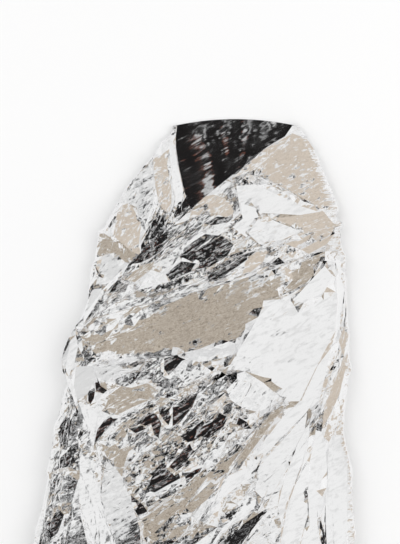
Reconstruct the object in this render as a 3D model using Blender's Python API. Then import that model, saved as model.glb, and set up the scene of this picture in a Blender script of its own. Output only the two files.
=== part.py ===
# Emergency foil blanket, laid on the floor and folded as a wrap.
# One sheet of film: a back layer flat on the floor, a flap folded over it from each side, and the
# right flap crossing over the left one. Metres, +Z up, the neck edge at +Y, the hem at -Y.
import bpy
import numpy as np

NODE = "foil_sheet"
THICKNESS = 0.0015
LAYER_GAP = 0.007

# The box of the laid blanket is centred on the origin, so the plan is moved by this much.
CENTRE_SHIFT_X = -0.0010
CENTRE_SHIFT_Y = -0.0030

# The left flap's body rises to this share of the right flap's height.
LEFT_RISE_SHARE = 0.55
MOUND_POWER = 2.6
ROLL_END_ANGLE = np.radians(55.0)
EDGE_BLEND = 0.075
OVERLAP_FADE = 0.045
SOFT_MAX = 0.004
FOLD_LIMIT = 0.028

# Points across the sheet, from the left flap's free edge round to the right flap's free edge.
LEFT_FLAP_COLUMNS = 12
ROLL_COLUMNS = 4
BACK_COLUMNS = 8
RIGHT_FLAP_COLUMNS = 27

# Rows down the sheet: close together over the pleated upper part, wider below it.
UPPER_ROWS = 40
LOWER_ROWS = 11
UPPER_END = -0.12

# One row per station down the blanket, from the neck to the hem.
# y, left outline, left flap's free edge, right flap's free edge, right outline
OUTLINE = [
    (0.650, -0.031, -0.022, 0.185, 0.196),
    (0.635, -0.034, -0.024, 0.183, 0.202),
    (0.625, -0.045, -0.025, 0.158, 0.207),
    (0.607, -0.059, -0.024, 0.135, 0.218),
    (0.581, -0.077, -0.020, 0.104, 0.229),
    (0.553, -0.104, -0.014, 0.068, 0.238),
    (0.524, -0.123, -0.007, 0.032, 0.248),
    (0.495, -0.139, 0.004, 0.000, 0.257),
    (0.459, -0.157, 0.025, -0.041, 0.266),
    (0.427, -0.166, 0.058, -0.079, 0.276),
    (0.391, -0.175, 0.090, -0.119, 0.281),
    (0.355, -0.182, 0.119, -0.155, 0.283),
    (0.319, -0.189, 0.144, -0.180, 0.284),
    (0.286, -0.198, 0.164, -0.206, 0.286),
    (0.256, -0.207, 0.186, -0.221, 0.287),
    (0.218, -0.212, 0.202, -0.228, 0.288),
    (0.198, -0.218, 0.210, -0.221, 0.286),
    (0.175, -0.225, 0.217, -0.211, 0.283),
    (0.153, -0.229, 0.221, -0.203, 0.281),
    (0.103, -0.240, 0.228, -0.198, 0.277),
    (0.040, -0.251, 0.236, -0.194, 0.288),
    (-0.032, -0.265, 0.242, -0.194, 0.290),
    (-0.103, -0.279, 0.246, -0.178, 0.291),
    (-0.239, -0.298, 0.258, -0.176, 0.301),
    (-0.419, -0.314, 0.270, -0.205, 0.315),
    (-0.650, -0.324, 0.277, -0.243, 0.326),
]

# How high the flaps stand and how round the side rolls are, down the blanket.
# y, height of the right flap over the floor, radius of the left roll, radius of the right roll
BODY = [
    (0.65, 0.014, 0.0035, 0.0035),
    (0.60, 0.022, 0.0060, 0.0070),
    (0.50, 0.038, 0.0095, 0.0100),
    (0.40, 0.050, 0.0115, 0.0125),
    (0.25, 0.060, 0.0130, 0.0150),
    (0.00, 0.066, 0.0150, 0.0160),
    (-0.20, 0.064, 0.0155, 0.0150),
    (-0.40, 0.055, 0.0140, 0.0135),
    (-0.65, 0.042, 0.0120, 0.0120),
]

# Folds. Each row is a curve in plan through a start, a middle and an end, with the half width of
# the fold and its height; a negative height is a trough.
# from x, from y, middle x, middle y, to x, to y, half width, height
RIGHT_FLAP_FOLDS = [
    (0.153, 0.607, 0.027, 0.486, -0.184, 0.297, 0.0090, 0.0060),
    (0.180, 0.583, 0.058, 0.463, -0.140, 0.308, 0.0108, 0.0080),
    (0.203, 0.538, 0.090, 0.441, -0.054, 0.358, 0.0126, 0.0080),
    (-0.193, 0.268, 0.000, 0.344, 0.238, 0.405, 0.0090, -0.0060),
    (-0.184, 0.243, 0.000, 0.326, 0.230, 0.380, 0.0162, 0.0050),
    (-0.166, 0.218, 0.000, 0.230, 0.175, 0.297, 0.0144, 0.0110),
    (-0.167, 0.085, -0.036, 0.178, 0.072, 0.221, 0.0144, 0.0120),
    (-0.155, 0.056, -0.011, 0.158, 0.101, 0.212, 0.0108, -0.0080),
    (-0.144, 0.031, 0.018, 0.142, 0.130, 0.200, 0.0144, 0.0120),
    (-0.072, 0.009, 0.027, 0.088, 0.090, 0.153, 0.0126, 0.0100),
    (-0.108, -0.027, 0.045, 0.054, 0.135, 0.139, 0.0144, 0.0120),
    (-0.090, -0.059, 0.058, 0.023, 0.148, 0.124, 0.0126, -0.0080),
    (-0.025, -0.085, 0.108, 0.099, 0.238, 0.337, 0.0198, 0.0170),
    (0.027, -0.081, 0.137, 0.085, 0.230, 0.274, 0.0162, -0.0080),
    (0.063, -0.077, 0.166, 0.034, 0.279, 0.247, 0.0180, 0.0110),
    (0.272, 0.344, 0.266, 0.207, 0.198, 0.085, 0.0144, 0.0120),
    (0.112, -0.110, 0.176, 0.013, 0.252, 0.148, 0.0162, 0.0100),
    (0.229, -0.142, 0.229, -0.023, 0.263, 0.092, 0.0144, 0.0100),
    (0.272, -0.142, 0.268, 0.031, 0.279, 0.200, 0.0108, 0.0060),
    (0.081, 0.488, 0.162, 0.522, 0.238, 0.553, 0.0180, 0.0100),
    (0.108, 0.405, 0.189, 0.452, 0.261, 0.508, 0.0126, 0.0100),
    (0.130, 0.452, 0.198, 0.488, 0.252, 0.531, 0.0108, 0.0060),
    (0.173, 0.621, 0.203, 0.556, 0.223, 0.473, 0.0144, 0.0060),
    (-0.176, 0.023, -0.167, -0.045, -0.155, -0.142, 0.0144, 0.0090),
    (-0.140, -0.023, -0.112, -0.059, -0.090, -0.131, 0.0162, 0.0090),
    (-0.112, -0.124, -0.112, -0.365, -0.169, -0.646, 0.0234, 0.0220),
    (-0.036, -0.110, -0.011, -0.365, -0.043, -0.646, 0.0252, 0.0260),
    (0.065, -0.131, 0.090, -0.383, 0.086, -0.646, 0.0234, 0.0240),
    (0.119, -0.221, 0.148, -0.455, 0.162, -0.646, 0.0162, -0.0100),
    (0.166, -0.124, 0.198, -0.383, 0.230, -0.646, 0.0216, 0.0220),
    (-0.072, -0.221, -0.061, -0.473, -0.104, -0.646, 0.0180, -0.0100),
    (0.018, -0.196, 0.043, -0.437, 0.025, -0.646, 0.0180, -0.0120),
]

LEFT_FLAP_FOLDS = [
    (-0.155, 0.441, -0.122, 0.486, -0.076, 0.578, 0.0108, 0.0070),
    (-0.130, 0.416, -0.090, 0.473, -0.049, 0.592, 0.0108, 0.0070),
    (-0.090, 0.437, -0.058, 0.495, -0.032, 0.607, 0.0090, 0.0070),
    (-0.045, 0.470, -0.032, 0.531, -0.023, 0.621, 0.0090, 0.0050),
    (-0.142, 0.427, -0.106, 0.481, -0.061, 0.589, 0.0072, -0.0040),
    (-0.191, 0.283, -0.176, 0.355, -0.144, 0.405, 0.0126, 0.0070),
    (-0.209, 0.185, -0.220, 0.103, -0.234, -0.034, 0.0108, 0.0070),
    (-0.234, -0.067, -0.252, -0.293, -0.277, -0.646, 0.0144, 0.0140),
    (-0.184, -0.131, -0.205, -0.365, -0.238, -0.646, 0.0126, 0.0120),
    (-0.072, 0.103, -0.054, -0.203, -0.072, -0.646, 0.0324, 0.0080),
]

BACK_FOLDS = [
    (0.000, 0.635, 0.043, 0.574, 0.029, 0.509, 0.0108, 0.0040),
    (0.090, 0.648, 0.083, 0.589, 0.047, 0.520, 0.0108, 0.0040),
    (0.155, 0.648, 0.130, 0.621, 0.083, 0.574, 0.0090, 0.0030),
]

# How far each layer's neck edge and hem stand beyond the straight line across.
NECK_BOW = 0.012
HEM_WAVES = {"left": (-0.006, 5.0, 0.4), "back": (0.004, 9.0, 1.7), "right": (0.006, 13.0, 0.2)}
EDGE_REACH = 0.15


def smoothstep(t):
    t = np.clip(t, 0.0, 1.0)
    return t * t * (3.0 - 2.0 * t)


def soft_max(a, b):
    return 0.5 * (a + b + np.sqrt((a - b) ** 2 + SOFT_MAX ** 2))


def along(table, y, column):
    """A column of a table at y, on a smooth curve through the rows."""
    rows = np.array(table)[::-1]
    ys, values = rows[:, 0], rows[:, column]
    slopes = np.gradient(values, ys)
    y = np.clip(y, ys[0], ys[-1])
    i = np.clip(np.searchsorted(ys, y, side="right") - 1, 0, len(ys) - 2)
    h = ys[i + 1] - ys[i]
    t = (y - ys[i]) / h
    t2, t3 = t * t, t * t * t
    return ((2 * t3 - 3 * t2 + 1) * values[i] + (t3 - 2 * t2 + t) * h * slopes[i]
            + (3 * t2 - 2 * t3) * values[i + 1] + (t3 - t2) * h * slopes[i + 1])


def fold_height(folds, x, y):
    """The summed height of a table of folds at plan points x, y."""
    total = np.zeros_like(x)
    for x0, y0, x1, y1, x2, y2, half_width, height in folds:
        t = np.linspace(0.0, 1.0, 17)
        bend_x = 2.0 * x1 - 0.5 * (x0 + x2)
        bend_y = 2.0 * y1 - 0.5 * (y0 + y2)
        curve_x = (1 - t) ** 2 * x0 + 2 * t * (1 - t) * bend_x + t * t * x2
        curve_y = (1 - t) ** 2 * y0 + 2 * t * (1 - t) * bend_y + t * t * y2
        nearest = np.full_like(x, 9.0)
        place = np.zeros_like(x)
        for k in range(len(t) - 1):
            dx, dy = curve_x[k + 1] - curve_x[k], curve_y[k + 1] - curve_y[k]
            s = ((x - curve_x[k]) * dx + (y - curve_y[k]) * dy) / (dx * dx + dy * dy)
            s = np.clip(s, 0.0, 1.0)
            d = np.hypot(x - curve_x[k] - s * dx, y - curve_y[k] - s * dy)
            closer = d < nearest
            nearest = np.where(closer, d, nearest)
            place = np.where(closer, t[k] + s / (len(t) - 1), place)
        taper = smoothstep(place / 0.22) * smoothstep((1.0 - place) / 0.22)
        total += height * taper * np.exp(-(nearest / half_width) ** 2)
    return FOLD_LIMIT * np.tanh(total / FOLD_LIMIT)


def mound(w):
    w = np.clip(w, 0.0, 1.0)
    return 1.0 - np.abs(2.0 * w - 1.0) ** MOUND_POWER


def roll_top(radius):
    return radius * (1.0 + np.sin(ROLL_END_ANGLE)) + THICKNESS / 2


def left_surface(x, y):
    left, right = along(OUTLINE, y, 1), along(OUTLINE, y, 4)
    radius = along(BODY, y, 2)
    rise = along(BODY, y, 1) * LEFT_RISE_SHARE
    start = left + radius * (1.0 - np.cos(ROLL_END_ANGLE))
    height = roll_top(radius) + rise * (mound((x - left) / (right - left))
                                        - mound((start - left) / (right - left)))
    ramp = smoothstep((x - start) / 0.02)
    return height + ramp * fold_height(LEFT_FLAP_FOLDS, x, y)


def right_surface(x, y):
    left, right = along(OUTLINE, y, 1), along(OUTLINE, y, 4)
    left_edge, right_edge = along(OUTLINE, y, 2), along(OUTLINE, y, 3)
    radius = along(BODY, y, 3)
    rise = along(BODY, y, 1)
    start = right - radius * (1.0 - np.cos(ROLL_END_ANGLE))
    own = roll_top(radius) + rise * (mound((x - left) / (right - left))
                                     - mound((start - left) / (right - left)))
    under = left_surface(x, y) + LAYER_GAP
    cover = smoothstep((left_edge + OVERLAP_FADE - x) / OVERLAP_FADE)
    lift = smoothstep((x - right_edge) / EDGE_BLEND)
    near_edge = own + (np.minimum(under, own) - own) * (1.0 - lift)
    ramp = smoothstep((start - x) / 0.02)
    folded = near_edge + ramp * fold_height(RIGHT_FLAP_FOLDS, x, y)
    return folded + cover * (soft_max(folded, under) - folded)


def back_surface(x, y):
    left, right = along(OUTLINE, y, 1), along(OUTLINE, y, 4)
    inside = smoothstep((x - left - 0.02) / 0.03) * smoothstep((right - 0.02 - x) / 0.03)
    return THICKNESS / 2 + inside * np.maximum(fold_height(BACK_FOLDS, x, y), 0.0)


def edge_shift(layer, across, y):
    """How far a point moves along y, near the neck edge and the hem only."""
    size, waves, phase = HEM_WAVES[layer]
    hem = smoothstep((-0.65 + EDGE_REACH - y) / EDGE_REACH)
    shift = hem * size * np.sin(waves * across + phase)
    if layer == "back":
        shift = shift + NECK_BOW * smoothstep((y - 0.65 + EDGE_REACH) / EDGE_REACH) * 4 * across * (1 - across)
    return shift


def section(y):
    """The points of one row: left flap, left roll, back, right roll, right flap."""
    left, left_edge, right_edge, right = (float(along(OUTLINE, y, k)) for k in (1, 2, 3, 4))
    left_radius, right_radius = float(along(BODY, y, 2)), float(along(BODY, y, 3))
    end = ROLL_END_ANGLE
    points = []

    xs = np.linspace(left_edge, left + left_radius * (1 - np.cos(end)), LEFT_FLAP_COLUMNS)
    zs = left_surface(xs, np.full_like(xs, y))
    points += [(x, y + edge_shift("left", u, y), z) for x, z, u in zip(xs, zs, np.linspace(1, 0, len(xs)))]

    for angle in np.linspace(end, -np.pi / 2, ROLL_COLUMNS + 1)[1:]:
        x = left + left_radius * (1 - np.cos(angle))
        points.append((x, y + edge_shift("left", 0.0, y), left_radius * (1 + np.sin(angle)) + THICKNESS / 2))

    xs = np.linspace(left + left_radius, right - right_radius, BACK_COLUMNS + 2)[1:-1]
    zs = back_surface(xs, np.full_like(xs, y))
    across = (xs - left) / (right - left)
    points += [(x, y + edge_shift("back", u, y), z) for x, z, u in zip(xs, zs, across)]

    for angle in np.linspace(-np.pi / 2, end, ROLL_COLUMNS + 1):
        x = right - right_radius * (1 - np.cos(angle))
        points.append((x, y + edge_shift("right", 0.0, y), right_radius * (1 + np.sin(angle)) + THICKNESS / 2))

    xs = np.linspace(right - right_radius * (1 - np.cos(end)), right_edge, RIGHT_FLAP_COLUMNS)[1:]
    zs = right_surface(xs, np.full_like(xs, y))
    points += [(x, y + edge_shift("right", u, y), z) for x, z, u in zip(xs, zs, np.linspace(0, 1, len(xs)))]
    return points


def middle_surface():
    upper = np.linspace(0.65, UPPER_END, UPPER_ROWS)
    lower = np.linspace(UPPER_END, -0.65, LOWER_ROWS + 1)[1:]
    grid = np.array([section(y) for y in np.concatenate([upper, lower])])
    grid[:, :, 0] += CENTRE_SHIFT_X
    grid[:, :, 1] += CENTRE_SHIFT_Y
    return grid


def build_sheet():
    """The middle surface as a grid of quads, thickened to a closed solid."""
    grid = middle_surface()
    rows, columns = grid.shape[:2]
    faces = [(r * columns + c, r * columns + c + 1, (r + 1) * columns + c + 1, (r + 1) * columns + c)
             for r in range(rows - 1) for c in range(columns - 1)]
    mesh = bpy.data.meshes.new(NODE)
    mesh.from_pydata([tuple(point) for point in grid.reshape(-1, 3)], [], faces)
    mesh.shade_smooth()
    sheet = bpy.data.objects.new(NODE, mesh)
    bpy.context.scene.collection.objects.link(sheet)
    solidify = sheet.modifiers.new("thickness", "SOLIDIFY")
    solidify.thickness = THICKNESS
    solidify.offset = 0.0
    triangulate = sheet.modifiers.new("triangles", "TRIANGULATE")
    triangulate.quad_method = "SHORTEST_DIAGONAL"
    return sheet


def film_material():
    material = bpy.data.materials.new("foil_film")
    material.use_nodes = True
    shader = material.node_tree.nodes["Principled BSDF"]
    shader.inputs["Base Color"].default_value = (0.82, 0.83, 0.84, 1.0)
    shader.inputs["Metallic"].default_value = 1.0
    shader.inputs["Roughness"].default_value = 0.18
    return material


def main():
    for thing in list(bpy.data.objects):
        bpy.data.objects.remove(thing, do_unlink=True)
    sheet = build_sheet()
    sheet.data.materials.append(film_material())


main()
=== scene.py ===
"""Emergency foil blanket, laid on a pale floor and folded as a wrap, seen from above."""

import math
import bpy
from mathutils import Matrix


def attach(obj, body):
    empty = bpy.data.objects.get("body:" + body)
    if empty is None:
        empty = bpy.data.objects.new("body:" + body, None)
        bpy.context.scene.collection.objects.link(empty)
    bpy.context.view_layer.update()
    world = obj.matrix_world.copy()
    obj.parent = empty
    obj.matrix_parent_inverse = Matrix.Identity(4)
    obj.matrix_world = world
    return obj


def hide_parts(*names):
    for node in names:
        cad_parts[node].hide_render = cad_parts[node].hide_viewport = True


bl_info = {
    "name": "Emergency foil blanket",
    "version": (1, 0, 0),
    "blender": (4, 5, 0),
    "location": "View3D > Sidebar > Foil blanket",
    "description": "Builds a crinkled silver film blanket, laid out and folded as a wrap",
    "category": "Object",
}

import bpy
import numpy as np
from mathutils import Vector
from mathutils.bvhtree import BVHTree
from mathutils.geometry import delaunay_2d_cdt

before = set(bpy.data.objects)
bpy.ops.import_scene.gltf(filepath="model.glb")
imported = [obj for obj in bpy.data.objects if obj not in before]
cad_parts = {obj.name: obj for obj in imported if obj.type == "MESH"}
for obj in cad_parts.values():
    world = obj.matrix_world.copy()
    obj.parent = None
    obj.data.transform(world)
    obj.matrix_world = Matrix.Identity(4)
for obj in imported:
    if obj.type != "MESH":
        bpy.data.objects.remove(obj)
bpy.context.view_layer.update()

NODE = "foil_sheet"
PIECE = "foil_blanket"

# The plan is drawn round the wrap's own middle line, and moved by this much to centre its box.
CENTRE_SHIFT_X = -0.0010
CENTRE_SHIFT_Y = -0.0030
NECK_Y = 0.65
HEM_Y = -0.65

# How the film lies: the same body as the solid's.
MIDDLE_HEIGHT = 0.00075
LAYER_GAP = 0.007
LEFT_RISE_SHARE = 0.55
MOUND_POWER = 2.6
ROLL_END_ANGLE = math.radians(55.0)
EDGE_BLEND = 0.075
OVERLAP_FADE = 0.045
SOFT_MAX = 0.004
FOLD_LIMIT = 0.028
TOP_HEIGHT = 0.113
TOP_EASE = 0.092
NECK_BOW = 0.012
EDGE_REACH = 0.15
HEM_WAVES = {"left": (-0.006, 5.0, 0.4), "back": (0.004, 9.0, 1.7), "right": (0.006, 13.0, 0.2)}

# The film is a net of flat facets between sharp creases. Large facets span the creases and the
# panels, each is split into small ones, and each of these into four.
UPPER_END = -0.12
LARGE_FACET = 0.026
SMALL_FACET = 0.0070
CALM_FACET = 0.0130
HIDDEN_FACET = 0.0180
FACET_STRETCH = 1.5
LARGE_HEIGHT = 0.0022
SMALL_HEIGHT = 0.0008
FINE_HEIGHT = 0.00020
STRAIGHTEN = 0.5
PANEL_CLEARANCE = 0.007
BACK_COLUMNS = 90
BACK_CRUMPLE = 0.05
LAYER_TOUCH = 0.0008
COVERED_FROM = 0.004
GRAIN = {"left": 65.0, "right": 38.0}
STIFF_PANEL = 0.26
LARGEST_CHANGE = 0.10
PANEL_SLACK = 0.0004
SLOPE_STEP = 0.02
FOLD_RAMP = 0.02
FACET_RAMP = 0.015
BACK_MARGIN = 0.02
BACK_FADE = 0.03
ROLL_MARGIN = 0.03

# Where the film is covered or rolled under, it is calmer and its facets are larger.
COVER_START = 0.01
COVER_FADE = 0.03
COVER_CALM = 0.85
PLAIN_MARGIN = 0.03
CALM_BELOW = 0.2
ROLL_CALM_FROM = 0.3
ROLL_CALM_FADE = 0.5
ROLL_NEAR = -0.3
ROLL_FAR = 1.2
ROLL_SMOOTH_ANGLE = 1.2

# The camera stands over this place, at this height.
CAMERA_PLACE = (0.018, 0.384, 3.22)

# y, left outline, left flap's free edge, right flap's free edge, right outline
OUTLINE = [
    (0.650, -0.031, -0.022, 0.185, 0.196),
    (0.635, -0.034, -0.024, 0.183, 0.202),
    (0.625, -0.045, -0.025, 0.158, 0.207),
    (0.607, -0.059, -0.024, 0.135, 0.218),
    (0.581, -0.077, -0.020, 0.104, 0.229),
    (0.553, -0.104, -0.014, 0.068, 0.238),
    (0.524, -0.123, -0.007, 0.032, 0.248),
    (0.495, -0.139, 0.004, 0.000, 0.257),
    (0.459, -0.157, 0.025, -0.041, 0.266),
    (0.427, -0.166, 0.058, -0.079, 0.276),
    (0.391, -0.175, 0.090, -0.119, 0.281),
    (0.355, -0.182, 0.119, -0.155, 0.283),
    (0.319, -0.189, 0.144, -0.180, 0.284),
    (0.286, -0.198, 0.164, -0.206, 0.286),
    (0.256, -0.207, 0.186, -0.221, 0.287),
    (0.218, -0.212, 0.202, -0.228, 0.288),
    (0.198, -0.218, 0.210, -0.221, 0.286),
    (0.175, -0.225, 0.217, -0.211, 0.283),
    (0.153, -0.229, 0.221, -0.203, 0.281),
    (0.103, -0.240, 0.228, -0.198, 0.277),
    (0.040, -0.251, 0.236, -0.194, 0.288),
    (-0.032, -0.265, 0.242, -0.194, 0.290),
    (-0.103, -0.279, 0.246, -0.178, 0.291),
    (-0.239, -0.298, 0.258, -0.176, 0.301),
    (-0.419, -0.314, 0.270, -0.205, 0.315),
    (-0.650, -0.324, 0.277, -0.243, 0.326),
]

# y, height of the right flap, radius of the left roll, radius of the right roll
BODY = [
    (0.65, 0.014, 0.0035, 0.0035),
    (0.60, 0.022, 0.0060, 0.0070),
    (0.50, 0.038, 0.0095, 0.0100),
    (0.40, 0.050, 0.0115, 0.0125),
    (0.25, 0.060, 0.0130, 0.0150),
    (0.00, 0.066, 0.0150, 0.0160),
    (-0.20, 0.064, 0.0155, 0.0150),
    (-0.40, 0.055, 0.0140, 0.0135),
    (-0.65, 0.042, 0.0120, 0.0120),
]

# Broad folds: from x, y, middle x, y, to x, y, half width, height
RIGHT_FLAP_FOLDS = [
    (0.153, 0.607, 0.027, 0.486, -0.184, 0.297, 0.0090, 0.0060),
    (0.180, 0.583, 0.058, 0.463, -0.140, 0.308, 0.0108, 0.0080),
    (0.203, 0.538, 0.090, 0.441, -0.054, 0.358, 0.0126, 0.0080),
    (-0.193, 0.268, 0.000, 0.344, 0.238, 0.405, 0.0090, -0.0060),
    (-0.184, 0.243, 0.000, 0.326, 0.230, 0.380, 0.0162, 0.0050),
    (-0.166, 0.218, 0.000, 0.230, 0.175, 0.297, 0.0144, 0.0110),
    (-0.167, 0.085, -0.036, 0.178, 0.072, 0.221, 0.0144, 0.0120),
    (-0.155, 0.056, -0.011, 0.158, 0.101, 0.212, 0.0108, -0.0080),
    (-0.144, 0.031, 0.018, 0.142, 0.130, 0.200, 0.0144, 0.0120),
    (-0.072, 0.009, 0.027, 0.088, 0.090, 0.153, 0.0126, 0.0100),
    (-0.108, -0.027, 0.045, 0.054, 0.135, 0.139, 0.0144, 0.0120),
    (-0.090, -0.059, 0.058, 0.023, 0.148, 0.124, 0.0126, -0.0080),
    (-0.025, -0.085, 0.108, 0.099, 0.238, 0.337, 0.0198, 0.0170),
    (0.027, -0.081, 0.137, 0.085, 0.230, 0.274, 0.0162, -0.0080),
    (0.063, -0.077, 0.166, 0.034, 0.279, 0.247, 0.0180, 0.0110),
    (0.272, 0.344, 0.266, 0.207, 0.198, 0.085, 0.0144, 0.0120),
    (0.112, -0.110, 0.176, 0.013, 0.252, 0.148, 0.0162, 0.0100),
    (0.229, -0.142, 0.229, -0.023, 0.263, 0.092, 0.0144, 0.0100),
    (0.272, -0.142, 0.268, 0.031, 0.279, 0.200, 0.0108, 0.0060),
    (0.081, 0.488, 0.162, 0.522, 0.238, 0.553, 0.0180, 0.0100),
    (0.108, 0.405, 0.189, 0.452, 0.261, 0.508, 0.0126, 0.0100),
    (0.130, 0.452, 0.198, 0.488, 0.252, 0.531, 0.0108, 0.0060),
    (0.173, 0.621, 0.203, 0.556, 0.223, 0.473, 0.0144, 0.0060),
    (-0.176, 0.023, -0.167, -0.045, -0.155, -0.142, 0.0144, 0.0090),
    (-0.140, -0.023, -0.112, -0.059, -0.090, -0.131, 0.0162, 0.0090),
    (-0.112, -0.124, -0.112, -0.365, -0.169, -0.646, 0.0234, 0.0220),
    (-0.036, -0.110, -0.011, -0.365, -0.043, -0.646, 0.0252, 0.0260),
    (0.065, -0.131, 0.090, -0.383, 0.086, -0.646, 0.0234, 0.0240),
    (0.119, -0.221, 0.148, -0.455, 0.162, -0.646, 0.0162, -0.0100),
    (0.166, -0.124, 0.198, -0.383, 0.230, -0.646, 0.0216, 0.0220),
    (-0.072, -0.221, -0.061, -0.473, -0.104, -0.646, 0.0180, -0.0100),
    (0.018, -0.196, 0.043, -0.437, 0.025, -0.646, 0.0180, -0.0120),
]

LEFT_FLAP_FOLDS = [
    (-0.155, 0.441, -0.122, 0.486, -0.076, 0.578, 0.0108, 0.0070),
    (-0.130, 0.416, -0.090, 0.473, -0.049, 0.592, 0.0108, 0.0070),
    (-0.090, 0.437, -0.058, 0.495, -0.032, 0.607, 0.0090, 0.0070),
    (-0.045, 0.470, -0.032, 0.531, -0.023, 0.621, 0.0090, 0.0050),
    (-0.142, 0.427, -0.106, 0.481, -0.061, 0.589, 0.0072, -0.0040),
    (-0.191, 0.283, -0.176, 0.355, -0.144, 0.405, 0.0126, 0.0070),
    (-0.209, 0.185, -0.220, 0.103, -0.234, -0.034, 0.0108, 0.0070),
    (-0.234, -0.067, -0.252, -0.293, -0.277, -0.646, 0.0144, 0.0140),
    (-0.184, -0.131, -0.205, -0.365, -0.238, -0.646, 0.0126, 0.0120),
    (-0.072, 0.103, -0.054, -0.203, -0.072, -0.646, 0.0324, 0.0080),
]

BACK_FOLDS = [
    (0.000, 0.640, 0.045, 0.574, 0.029, 0.480, 0.0160, 0.0022),
    (0.060, 0.645, 0.075, 0.589, 0.055, 0.500, 0.0140, 0.0016),
    (0.110, 0.648, 0.105, 0.600, 0.083, 0.540, 0.0130, 0.0018),
    (0.155, 0.648, 0.140, 0.621, 0.110, 0.585, 0.0120, 0.0014),
]

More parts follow.
